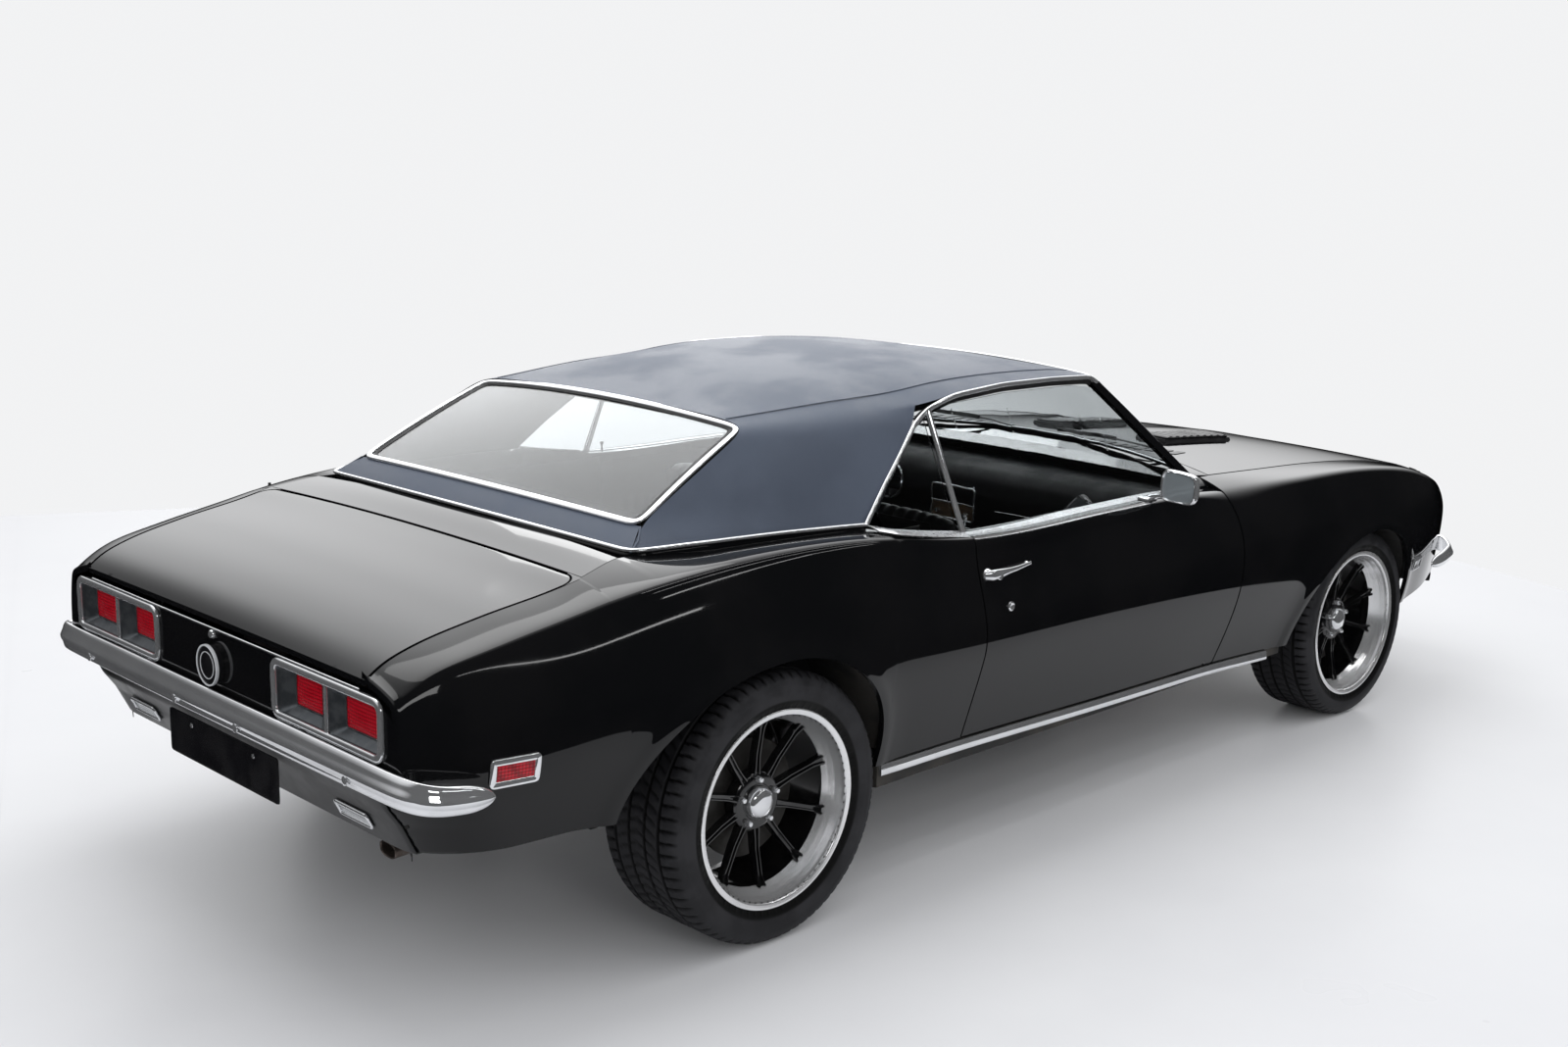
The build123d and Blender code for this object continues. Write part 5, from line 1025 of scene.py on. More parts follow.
def belts():
    """Bright belt mouldings: a flat band that lies on the top ledge of the door and of the quarter."""
    for side in ("left", "right"):
        x = np.linspace(DOOR[0] + 1, 500, 90)[:, None]
        f = np.linspace(0, 1, 8)[None, :]
        crease_y, crease_z = at(SIDE_CURVES, x)[:2]
        outer, inner = crease_y - 4, glass_y(x, crease_z) + 8
        fade = np.clip((500 - x) / 300, 0.15, 1)
        outer = inner + (outer - inner) * fade
        y = outer + (inner - outer) * f
        z = crease_z - 2 + 9 * np.sin(math.pi / 2 * f) + 0 * y
        part = [sheet(edge_down(points_of(x, y, z), 4), facing=(0, 0.3, 1))]
        piece(f"door_belt_{side}", part if side == "left" else other_side(part), "trim",
              body=f"door_{side}", bevel=0.8)
    x = np.linspace(-915, DOOR[0] - SHUT, 50)[:, None]
    f = np.linspace(0, 1, 8)[None, :]
    crease_y, crease_z = at(SIDE_CURVES, x)[:2]
    inner = np.interp(x, [-915, -880, -609], [764, 806, 806])
    outer = np.minimum(crease_y - 4, inner + 46)
    base = np.interp(x, [-915, -880, -760, -609], [953, 946, 925, 903])
    y = outer + (inner - outer) * f
    z = base - 3 + 9 * np.sin(math.pi / 2 * f)
    piece("quarter_belts", pair([sheet(edge_down(points_of(x, y, z), 4), facing=(0, 0.3, 1))]), "trim",
          bevel=0.8)


# ------------------------------------------------------------------ tail and nose
def rounded_loop(y0, y1, z0, z1, radius, x, count=160):
    """Rectangle across the car at station x: four quarter circles joined by straight runs, evenly spaced."""
    turn = np.linspace(0, math.pi / 2, 9)
    corners = []
    for k, (cy, cz) in enumerate(((y1 - radius, z1 - radius), (y0 + radius, z1 - radius),
                                  (y0 + radius, z0 + radius),
                                  (y1 - radius, z0 + radius))):
        a = turn + k * math.pi / 2
        corners.append(points_of(np.full(9, float(x)), cy + radius * np.cos(a), cz + radius * np.sin(a)))
    return run_along(np.concatenate(corners), count, 1.0, closed=True)


def tail_lamps():
    """Each lamp: bright rounded frame and divider, two tapered dark boxes and a dotted red lens at the
    back of each."""
    frames, boxes, lenses, lines = [], [], [], []
    loop = rounded_loop(283, 721, 639, 763, 22, -2313)
    frames.append(tube(loop, round_bar(9.5, 6, 2.4, 18), up=(-1, 0, 0), closed=True))
    divider = run_along([(-2311, 502, 648), (-2311, 502, 754)], 20)
    frames.append(tube(divider, round_bar(5.5, 4.5, 2.6, 14), up=(-1, 0, 0)))
    for y0, y1, back0, back1 in ((288, 499, 336, 450), (505, 716, 545, 676)):
        v = np.linspace(0, 1, 12)
        front = rounded_loop(y0, y1, 644, 758, 18, -2309, 120)
        rear = rounded_loop(back0, back1, 666, 738, 6, -2284, 120)
        grid = front[None] + (rear - front)[None] * v[:, None, None]
        points, quads = sheet(grid, around=True)
        boxes.append((points, quads[:, ::-1]))
        face = points_of(-2286.0, np.linspace(back0 - 2, back1 + 2, 24)[None, :],
                                            np.linspace(664, 740, 14)[:, None])
        arch_y, arch_z = np.sin(np.linspace(0, math.pi, 24)), np.sin(np.linspace(0, math.pi, 14))
        face[..., 0] -= 4 * arch_y[None, :] * arch_z[:, None]
        lenses.append(sheet(face, facing=(-1, 0, 0)))
        rim = rounded_loop(back0, back1, 666, 738, 6, -2287, 100)
        lines.append(tube(rim, round_bar(1.8, 1.6, 2, 8), up=(-1, 0, 0), closed=True))
    piece("tail_lamp_frames", pair(frames), "chrome", stands_for=["tail_lamp_bezels"])
    piece("tail_lamp_boxes", pair(boxes), "lamp_grey", slot="red_lens")
    piece("tail_lamp_lenses", pair(lenses), "red", stands_for=["tail_lamps"])
    piece("tail_lamp_lines", pair(lines), "lamp_grey")


def tail_panel():
    """On the gloss panel between the lamps: a bright lower line, fuel cap and lock."""
    middle, way = (-2309, 0, 690), (-1, 0, 0)
    cap = [turned_about(middle, way, [(0, 0), (0, 46), (15, 49), (20, 49), (21, 46.5), (19.5, 45),
                                      (19.5, 0)], 96)]
    piece("fuel_cap_disc", cap, "plate", stands_for=["fuel_cap"], sharp=30)
    rings = [turned_about(middle, way, [(15, 49.6), (21.5, 49.6), (22.5, 48.2), (22.5, 46.4), (20, 45.6)],
                          96),
             turned_about(middle, way, [(19, 33), (20.8, 33), (21.2, 32), (20.8, 31), (19, 31)], 96)]
    piece("fuel_cap_rings", rings, "pale_line", sharp=30)
    lock = [turned_about((-2309, 0, 762), (-1, 0, 0), [(0, 0), (0, 11), (6, 11), (9, 9), (10, 5), (9, 0)],
                         40)]
    piece("trunk_lock", lock, "chrome", slot="bright_chrome")
    y = np.linspace(-640, 640, 40)
    strip = points_of(np.full(40, -2312.0), y, np.full(40, 776.0))
    piece("tail_edge_line", [tube(strip, round_bar(2.5, 1.8, 2, 8), up=(-1, 0, 0))], "chrome")


REAR_BUMPER = [(-2345, 0, 560, 634), (-2345, 420, 560, 634), (-2343, 700, 560, 632), (-2338, 800, 558, 630),
               (-2320, 856, 554, 624), (-2275, 884, 548, 614), (-2205, 892, 543, 604),
               (-2143, 894, 540, 594)]
FRONT_BUMPER = [(2345, 0, 432, 500), (2340, 330, 432, 500), (2312, 600, 432, 498), (2245, 770, 432, 494),
                (2140, 848, 432, 488), (2020, 880, 433, 482), (1900, 896, 435, 476)]


def bumper(name, bends, node):
    """Blade bumper: a crowned section with a soft ridge above its middle, carried round the bends, ends
    drawn to a tip."""
    table = np.array(bends, float)
    table = np.concatenate([table[:0:-1] * np.array([1, -1, 1, 1]), table])
    path = run_along(table, 260, 26)
    x, y, low, high = path.T
    way = np.gradient(np.stack([x, y], axis=1), axis=0)
    way /= np.linalg.norm(way, axis=1, keepdims=True)
    out = np.stack([way[:, 1], -way[:, 0]], axis=1)
    out *= np.sign((out * np.stack([x, y * 0.3], axis=1)).sum(1))[:, None]
    shape = np.array([(-14, 0.0), (-9, 0.03), (-7, 0.12), (-5.5, 0.24), (-2, 0.34), (0, 0.44), (0, 0.50),
                      (-2.2, 0.58),
                      (-6, 0.70), (-9, 0.84), (-13, 0.95), (-18, 1.0), (-23, 0.97), (-24, 0.9), (-24, 0.1),
                      (-20, 0.01)])
    ring = run_along(shape * np.array([1, 70]), 64, 1.3, closed=True) / np.array([1, 70])
    from_end = np.minimum(np.arange(260), 259 - np.arange(260)) / 9
    tip = np.sqrt(np.clip(1 - (1 - np.clip(from_end, 0, 1)) ** 2, 0.02, 1))[:, None]
    depth = -12 + (ring[None, :, 0] + 12) * tip
    height = 0.5 + (ring[None, :, 1] - 0.5) * tip
    grid = points_of(x[:, None] + out[:, :1] * depth, y[:, None] + out[:, 1:] * depth,
                     low[:, None] + (high - low)[:, None] * height)
    cap = [grid[:1].mean(1, keepdims=True) + 0 * grid[:1], grid[-1:].mean(1, keepdims=True) + 0 * grid[-1:]]
    line = points_of(x - out[:, 0] * 12, y - out[:, 1] * 12, (low + high) / 2)
    parts = [oriented(sheet(np.concatenate([cap[0], grid, cap[1]]), around=True), line)]
    sign = np.sign(x[130])
    for by in (-620, -150, 150, 620):
        bx = np.interp(by, y, x)
        parts.append(turned_about((bx - sign * 3, by, np.interp(by, y, low) + 17), (sign, 0, 0),
                                  [(0, 0), (0, 11), (2.5, 10.5), (4, 7), (4.4, 0)], 28))
    for by in (-360, 360):
        bx = np.interp(by, y, x)
        parts.append(block(*sorted((bx - sign * 38, bx - sign * 22)), by - 22, by + 22,
                           np.interp(by, y, low) + 15,
                           np.interp(by, y, high) - 14, 4))
    piece(name, parts, "chrome", stands_for=[node], sharp=50)


def valance_lamp(box, corner, x_of, frame_out, lens_out, up):
    """Frame and lens of a small lamp that lies on a valance's face x_of(y, z)."""
    y0, y1, z0, z1 = box
    loop = rounded_loop(y0, y1, z0, z1, corner, 0, 100)
    loop[:, 0] = x_of(loop[:, 1], loop[:, 2]) + frame_out
    y, z = np.linspace(y0, y1, 14)[None, :], np.linspace(z0, z1, 8)[:, None]
    face = points_of(0.0, y, z)
    face[..., 0] = x_of(face[..., 1], face[..., 2]) + lens_out
    frame_tube = tube(loop, round_bar(4.5, 3.5, 2.4, 12), up=up, closed=True)
    return frame_tube, sheet(face, facing=(up[0], 0, 0))


def valances():
    """Lower panels front and rear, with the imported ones' shape but turned edges, and their lamps."""
    u = np.linspace(-1, 1, 90)[None, :]
    v = np.linspace(0, 1, 30)[:, None]
    z = np.linspace(559, 399, 29)
    line = np.append(np.stack([valance_x(z), z], axis=-1), [[-2206, 398.5]], axis=0)
    y = (SEAM_Y - 2) * u + 0 * v
    turn = np.clip((np.abs(y) - TURN_Y) / TURN_X, 0, 1)
    grid = points_of(line[:, :1] + TURN_X * (1 - np.sqrt(1 - turn**2)), y, line[:, 1:])
    piece("rear_valance_skin", [sheet(grid, facing=(-1, 0, -0.2))], "satin_paint",
          stands_for=["rear_valance"], thick=3)
    line = run_along([(2196, 511), (2213, 430), (2166, 311), (2150, 310)], 30, 6)
    grid = points_of(line[:, :1] - 40 * u**2, 640 * u, line[:, 1:])
    piece("front_valance_skin", [sheet(grid, facing=(1, 0, -0.2))], "satin_paint",
          stands_for=["front_valance"], thick=3)
    rear_slope, front_slope = 38 / 72, 0.395

    def rear_x(_, z):
        """Leaning face of the rear valance."""
        return -2310 + 52 + rear_slope * (470 - z)

    def front_x(y, z):
        """Leaning and bowed face of the front valance, with the lamp's stand-out."""
        return 2213 - (430 - z) * front_slope - 40 * (y / 640) ** 2 + 6
    rear_frame, rear_lens = valance_lamp((438, 566, 432, 465), 5, rear_x, -6, -4, (-1, 0, 0.4))
    front_frame, front_lens = valance_lamp((422, 558, 362, 418), 9, front_x, 0, 0, (1, 0, 0))
    frames, lenses = [rear_frame, front_frame], [rear_lens, front_lens]
    piece("signal_lamp_frames", pair(frames), "chrome")
    piece("signal_lamp_lenses", pair(lenses), "clear", stands_for=["signal_lamps"])


def pillar_feet():
    """Painted ledge between the windshield post's foot, the door's front end and the fender."""
    x = np.linspace(548, 613, 12)[:, None]
    y = np.linspace(720, 769, 14)[None, :]
    z = 908 - 0.43 * (y - 720) - 6 * ((y - 720) / 49) ** 4 + 0 * x
    piece("pillar_feet", pair([sheet(edge_down(points_of(x, y, z), 22), facing=(0, 0, 1))]), "paint")


def side_markers():
    """Side marker lamps: bright frame following the body side with a lens inside."""
    frames, rear, front = [], [], []
    for x0, x1, z0, z1, keep in ((-2125, -2024, 575, 627, rear), (1773, 1848, 457, 488, front)):
        loop = run_along([(x0, z0), (x1, z0), (x1, z1), (x0, z1)], 100, 3, closed=True)
        y = side_y(loop[:, 0], loop[:, 1]) + 3
        line = points_of(loop[:, 0], y, loop[:, 1])
        frames.append(tube(line, round_bar(8, 4, 2.6, 12), up=(0, 1, 0.1), closed=True))
        gx, gz = np.meshgrid(np.linspace(x0 + 2, x1 - 2, 12), np.linspace(z0 + 2, z1 - 2, 8))
        keep.append(sheet(points_of(gx, side_y(gx, gz) + 3, gz), facing=(0, 1, 0)))
    piece("side_marker_frames", pair(frames), "chrome")
    piece("rear_marker_lenses", pair(rear), "red", stands_for=["side_markers"])
    piece("front_marker_lenses", pair(front), "clear")


def licence_plate():
    """Blank dark plate with rounded corners and two screws."""
    loop = run_along([(-262, 412), (262, 412), (262, 522), (-262, 522)], 140, 6, closed=True)
    centre = np.array([0, 467.0])
    rows = []
    for x, k in ((-2298, 0.0), (-2298, 1.0), (-2301.4, 1.0), (-2302, 0.992), (-2302, 0.955),
                 (-2301.3, 0.945), (-2301.3, 0.0)):
        shrink = k if k in (0.0, 1.0) else np.array([1 - (1 - k) * 0.25, k])
        p = centre + (loop - centre) * shrink
        rows.append(np.column_stack([np.full(len(p), float(x)), p]))
    parts = [sheet(np.array(rows), around=True)]
    piece("blank_plate", parts, "plate", stands_for=["licence_plate"], sharp=30)
    screws = [turned_about((-2301, y, 500), (-1, 0, 0), [(0, 0), (0, 6), (1.5, 5.5), (2.2, 0)],
                           20) for y in (-150, 150)]
    piece("plate_screws", screws, "chrome")


def handle_and_mirror(side):
    """Door handle with push button, lock, mirror with its glass, and the lock knob."""
    body = f"door_{side}"
    flip = (lambda parts: parts) if side == "left" else other_side
    x = np.linspace(-590, -402, 50)
    rise = np.interp(x, [-590, -575, -540, -470, -402], [6, 17, 20, 17, 7])
    thick = np.interp(x, [-590, -570, -545, -500, -402], [11, 15, 13, 8, 4.5])
    line = points_of(x, side_y(x, np.full(50, 800)) + rise, 800 + 7 * (x + 590) / 188)
    unit = round_bar(1, 0.62, 2.4, 16)
    bar = tube(line, unit, up=(0, 1, 0), scale=thick)
    y0 = float(side_y(-560.0, 798.0))
    button = turned_about((-548, y0 + 12, 797), (-0.2, 1, 0),
                          [(0, 0), (0, 11), (13, 11), (15, 8.5), (14.5, 0)], 36)
    foot = turned_about((-575, y0, 800), (0, 1, 0), [(0, 0), (0, 17), (5, 16), (12, 12), (16, 0)], 36)
    tip = turned_about((-412, float(side_y(-412.0, 806.0)), 806), (0, 1, 0),
                       [(0, 0), (0, 7), (4, 6.5), (9, 4), (10, 0)], 24)
    piece(f"handle_{side}", flip([bar, button, foot, tip]), "chrome", body=body,
          stands_for=[f"door_handle_{side}"])
    y1 = float(side_y(-502.0, 707.0))
    lock = turned_about((-502, y1 - 1, 707), (0, 1, 0),
                        [(0, 0), (0, 13), (4, 12.5), (6, 9), (5, 6), (5, 0)], 32)
    piece(f"lock_{side}", flip([lock]), "chrome", body=body)
    knob = turned_about((-545, 770, 898), (0, 0.08, 1),
                        [(0, 0), (0, 3.2), (24, 3.2), (26, 5.5), (33, 6), (36, 4), (37, 0)], 20)
    piece(f"lock_knob_{side}", flip([knob]), "chrome", body=body)
    loop = run_along([(880, 903), (1002, 901), (1005, 990), (886, 998)], 100, 20, closed=True)
    centre = np.array([944.0, 948.5])
    rows = []
    for mx, k in ((194, 0.0), (194, 0.86), (190.2, 0.88), (188.6, 0.94), (190.4, 1.0), (198, 1.03),
                  (212, 0.97), (224, 0.80), (231, 0.5), (233, 0.0)):
        rows.append(np.column_stack([np.full(100, mx), centre + (loop - centre) * k]))
    head = sheet(np.array(rows), around=True)
    stalk = tube(run_along([(208, 826, 896), (208, 846, 905), (208, 900, 916), (208, 935, 925)], 30, 8),
                 round_bar(8, 6, 2, 16), up=(1, 0, 0))
    foot_z = float(at(SIDE_CURVES, 208.0)[1])
    base = block(182, 236, 808, 846, foot_z - 1, foot_z + 12, 5)
    piece(f"mirror_shell_{side}", flip([head, stalk, base]), "chrome", body=body,
          stands_for=[f"mirror_{side}"])
    rows = [np.column_stack([np.full(100, 193.4 - 1.6 * (1 - k * k)),
                             centre + (loop - centre) * 0.868 * k]) for k in np.linspace(0, 1, 8)]
    piece(f"mirror_glass_{side}", flip([sheet(np.array(rows), around=True, facing=(-1, 0, 0))]), "silvered",
          body=body)


def nose_details():
    """Grille frame, bars and closed lamp doors, wipers, cowl slots and the aerial's foot."""
    bars = [block(2166, 2196, -640, 640, z - 2.2, z + 2.2, 2) for z in np.arange(524, 704, 13.0)]
    bars += [block(2164, 2194, y - 2, y + 2, 514, 706, 1.5) for y in np.arange(-400, 401, 50.0)]
    doors = [block(2176, 2199, 412, 640, z, z + 9.5, 4) for z in 526 + 14.6 * np.arange(12)]
    back = [block(2168, 2172, -640, 640, 512, 706, 1)]
    loop = rounded_loop(-640, 640, 514, 704, 20, 2198, 300)
    piece("grille_frame", [tube(loop, round_bar(5, 4, 2.5, 12), up=(1, 0, 0), closed=True)], "chrome")
    piece("grille_bars", bars + back + pair(doors), "black", stands_for=["grille"])
    wipers = []
    for y0 in (110, -470):
        inner = run_along([(775 - abs(y0 + 180) * 0.12, y0, 946),
                           (735 - abs(y0 + 180) * 0.12, y0 + 150, 966),
                           (712 - abs(y0 + 180) * 0.14, y0 + 330, 968)], 40, 20)
        wipers.append(tube(inner, round_bar(5, 3, 2.5, 10)))
        blade = inner[14:] + np.array([-10, 0, 3])
        wipers.append(tube(blade, round_bar(2.5, 7, 3, 10)))
    piece("wipers", wipers, "black")
    foot = turned_about((-1698, 861 - 30, 903), (0, 0.2, 1),
                        [(0, 0), (0, 13), (5, 12), (9, 8), (14, 5), (22, 4), (23, 0)], 32)
    piece("aerial_foot", [foot], "black")
    slots = [block(742, 800, y - 16, y + 16, 931, 934.5, 1.2) for y in np.arange(-540, 541, 45.0)]
    piece("cowl_slots", slots, "black")


# ------------------------------------------------------------------ wheels
def wheel(body, x, face, width, tyre_r, tyre_w):
    """Deep stepped rim, ten channelled spokes, hub, cap, nuts, brake disc and a low tyre with grooves and
    sipes."""
    f, b, c = face, face - width, (x, tyre_r)
    right = body.endswith("right")
    flip = other_side if right else (lambda parts: parts)
    lip = run_along([(f - 9, 233), (f - 8, 244), (f - 5, 248.5), (f - 1.5, 249), (f - 0.5, 246),
                     (f - 2, 240), (f - 3.5, 234),
                     (f - 8, 231.5), (f - 16, 230), (f - 34, 224), (f - 50, 217), (f - 62, 211),
                     (f - 66, 209)], 56, 1.1)
    outer = run_along([(f - 9, 233), (f - 42, 233), (f - 58, 216), (b + 62, 216), (b + 46, 233),
                       (b + 9, 233), (b + 7, 249),
                       (b, 249), (b + 2, 228), (b + 50, 208), (f - 66, 208.5)], 50, 1.5)
    piece(f"{body}_lip", flip([turned(lip, c, 120)]), "polished", body=body, stands_for=[body], sharp=60)
    hub = f - 78
    dark = [turned(outer, c, 96)]
    dark.append(turned([(hub - 36, 20), (hub - 36, 74), (hub - 12, 76), (hub - 4, 74), (hub, 69),
                        (hub + 1, 66), (hub + 1, 46),
                        (hub + 3, 44), (hub + 3, 0)], c, 80, facing=None))
    for k in range(10):
        a = 2 * math.pi * (k + 0.5) / 10
        r = np.linspace(62, 212, 30)
        half = np.interp(r, [62, 95, 180, 212], [11.5, 8.5, 8.0, 13])
        front = np.interp(r, [62, 120, 190, 212], [hub + 0, hub + 3, f - 62, f - 52])
        deep = front - np.interp(r, [62, 212], [26, 20])
        shape = np.array([(-1, 0.0), (-1, 0.86), (-0.82, 1), (-0.5, 1), (-0.36, 0.72), (0.36, 0.72),
                          (0.5, 1), (0.82, 1), (1, 0.86), (1, 0)])
        w = half[:, None] * shape[None, :, 0]
        y = deep[:, None] + (front - deep)[:, None] * shape[None, :, 1]
        grid = points_of(x + r[:, None] * math.cos(a) - w * math.sin(a), y,
                         tyre_r + r[:, None] * math.sin(a) + w * math.cos(a))
        line = points_of(x + r * math.cos(a), (front + deep) / 2, tyre_r + r * math.sin(a))
        dark.append(oriented(sheet(grid, around=True), line))
    piece(f"{body}_spokes", flip(dark), "spoke", body=body, sharp=32)
    cap = [turned_about((x, hub + 3, tyre_r), (0, 1, 0),
                        [(0, 0), (0, 39), (4, 40), (10, 39), (17, 35), (21, 28), (23, 16), (23.5, 0)], 64)]
    nuts = []
    for k in range(5):
        a = 2 * math.pi * (k + 0.25) / 5
        nuts.append(turned_about((x + 58 * math.cos(a), hub + 1, tyre_r + 58 * math.sin(a)), (0, 1, 0),
                                 [(0, 0), (0, 8.5), (11, 8.0), (15, 5.5), (16, 0)], 18))
    piece(f"{body}_cap", flip(cap + nuts), "chrome", body=body, sharp=35)
    disc = [turned([(hub - 40, 60), (hub - 40, 150), (hub - 52, 150), (hub - 52, 60)], c, 80)]
    piece(f"{body}_disc", flip(disc), "dark_steel", body=body, sharp=30)
    tyre(body, c, f - width / 2, tyre_w / 2, tyre_r, flip)


def tyre(body, c, centre, half, r, flip):
    """Tyre: section carried round the axle, cut by round grooves and by slanted sipes.

    depth = groove bell at four widths + sipe where the angle, skewed by the width, falls near a whole
    step."""
    n = 560
    wall = [(-(half - 14), 234.0), (-(half - 11), 250), (-(half - 3), 268),
            (-half + 0.5, (252 + r) / 2 - 6), (-half + 2, r - 26), (-(half - 8), r - 12)]
    wall = run_along(wall, 20, 5)
    grooves = half * np.array([-0.56, -0.20, 0.20, 0.56])
    edges = (grooves[:, None] + np.array([-6.4, -4.6, 0, 4.6, 6.4])).ravel()
    ribs = half * np.array([0.0, 0.08, 0.30, 0.38, 0.46, 0.66, 0.75, 0.83])
    band = np.unique(np.r_[edges, ribs, -ribs])
    crown = np.interp(np.abs(band), [0, half - 34, half - 20, half - 8], [r, r - 0.3, r - 3.5, r - 12])
    line = np.concatenate([wall, np.stack([band, crown], axis=1), wall[::-1] * np.array([-1, 1])])
    y, radius = line.T
    a = np.linspace(0, 2 * math.pi, n, endpoint=False)[:, None]
    groove = sum(np.exp(-((y - half * k) / 5.6) ** 8) for k in (-0.56, -0.20, 0.20, 0.56)) * 7.5
    tread = 1 / (1 + np.exp((np.abs(y) - (half - 9)) / 1.5))
    shoulder = np.clip((np.abs(y) - half * 0.58) / 6, 0, 1) * tread
    centre_band = np.clip((half * 0.5 - np.abs(y)) / 6, 0, 1)
    lines = 70
    skew = a * lines / (2 * math.pi) + 0.004 * y + 0.35 * np.sin(y / half * 2.2)
    near = np.abs(skew - np.round(skew)) * 2
    cut = np.exp(-(near / 0.24) ** 6)
    fine = a * lines / (2 * math.pi) - 0.016 * np.abs(y)
    slit = np.exp(-((np.abs(fine - np.round(fine)) * 2) / 0.28) ** 6)
    depth = np.maximum(groove[None], cut * shoulder[None] * 5.5 + slit * centre_band[None] * 3.0)
    bead = 0.9 * np.exp(-((radius - 262) / 1.6) ** 2) + 0.7 * np.exp(-((radius - (r - 30)) / 1.3) ** 2)
    sign = np.sign(y)
    q = radius[None] - depth
    grid = points_of(c[0] + q * np.cos(a), centre + (y + sign * bead)[None], c[1] + q * np.sin(a))
    ring = points_of(c[0] + (r - 45) * np.cos(a[:, 0]), np.full(n, float(centre)),
                     c[1] + (r - 45) * np.sin(a[:, 0]))
    node = body.replace("wheel", "tyre")
    obj = piece(f"{node}_tread", flip([oriented(sheet(grid, closed=True), ring)]), "rubber", body=body,
                stands_for=[node], sharp=45)
    # How far each vertex lies below the tread face, stored as 'sunk'; the rubber finish paints shade into
    # the grooves from it.
    co = np.empty(len(obj.data.vertices) * 3)
    obj.data.vertices.foreach_get("co", co)
    co = co.reshape(-1, 3) / MM
    reach = np.hypot(co[:, 0] - c[0], co[:, 2] - c[1])
    across = np.abs(np.abs(co[:, 1]) - centre)
    whole = np.interp(across, np.maximum.accumulate(np.abs(y[len(y) // 2:])), radius[len(y) // 2:])
    sunk = np.clip((whole - reach - 1.0) / 3.0, 0, 1) * (across < half - 3)
    obj.data.attributes.new("sunk", "FLOAT", "POINT").data.foreach_set("value", sunk)


# ------------------------------------------------------------------ cabin
def swell(obj, pressure, frames, cap):
    """Cloth pressure on a voxel-remeshed pad: each vertex may move at most cap metres from its start."""
    start = np.array([v.co for v in obj.data.vertices])
    cloth = obj.modifiers.new("swell", "CLOTH")
    cloth.settings.use_pressure = True
    cloth.settings.uniform_pressure_force = pressure
    cloth.settings.effector_weights.gravity = 0
    cloth.settings.quality = 4
    cloth.collision_settings.use_collision = False
    scene = bpy.context.scene
    for k in range(1, frames + 1):
        scene.frame_set(k)
    shown = obj.evaluated_get(bpy.context.evaluated_depsgraph_get())
    moved = np.empty(len(start) * 3)
    shown.data.vertices.foreach_get("co", moved)
    move = moved.reshape(-1, 3) - start
    size = np.linalg.norm(move, axis=1, keepdims=True)
    obj.modifiers.remove(cloth)
    scene.frame_set(1)
    return start + move * np.minimum(1, cap / np.maximum(size, 1e-9))


def pad(name, outline, y0, y1, node, channels, edge=0.10, fill=0.6):
    """Stuffed pad: side outline of (x, z) carried across y with its ends drawn in, then swollen, seamed
    and channelled."""
    loop = run_along(outline, 96, 16, closed=True)
    middle = loop.mean(0)
    s = np.linspace(-1, 1, 34)
    draw = 1 - edge * np.abs(s) ** 6
    rows = []
    for k, d in zip(s, draw):
        p = middle + (loop - middle) * d
        rows.append(np.column_stack([p[:, 0], np.full(96, (y0 + y1) / 2 + k * (y1 - y0) / 2), p[:, 1]]))
    rows = [rows[0] * 0 + rows[0].mean(0), *rows, rows[-1] * 0 + rows[-1].mean(0)]
    obj = piece(name, [sheet(np.array(rows), around=True)], "hide", slot="seat_vinyl")
    mesh = obj.data
    bpy.context.view_layer.objects.active = obj
    obj.select_set(True)
    mesh.remesh_voxel_size = 0.011
    bpy.ops.object.voxel_remesh()
    obj.select_set(False)
    co = swell(obj, 4.0, 14, 0.012)
    obj.data.vertices.foreach_set("co", co.ravel())
    mesh = obj.data
    co = np.empty(len(mesh.vertices) * 3)
    no = np.empty(len(mesh.vertices) * 3)
    mesh.vertices.foreach_get("co", co)
    mesh.vertex_normals.foreach_get("vector", no)
    co, no = co.reshape(-1, 3), no.reshape(-1, 3)
    y = co[:, 1] / MM
    depth = sum(np.exp(-((y - k) / 7.0) ** 2) for k in channels)
    along_top = np.clip(1 - np.abs(no[:, 1]) * 1.5, 0, 1)
    co = co - no * (0.007 * depth * along_top)[:, None]
    mesh.vertices.foreach_set("co", co.ravel())
    mesh.shade_smooth()
    mesh.update()
    soft = obj.modifiers.new("soft", "SUBSURF")
    soft.levels = soft.render_levels = 1
    if node:
        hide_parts(node)
    return obj


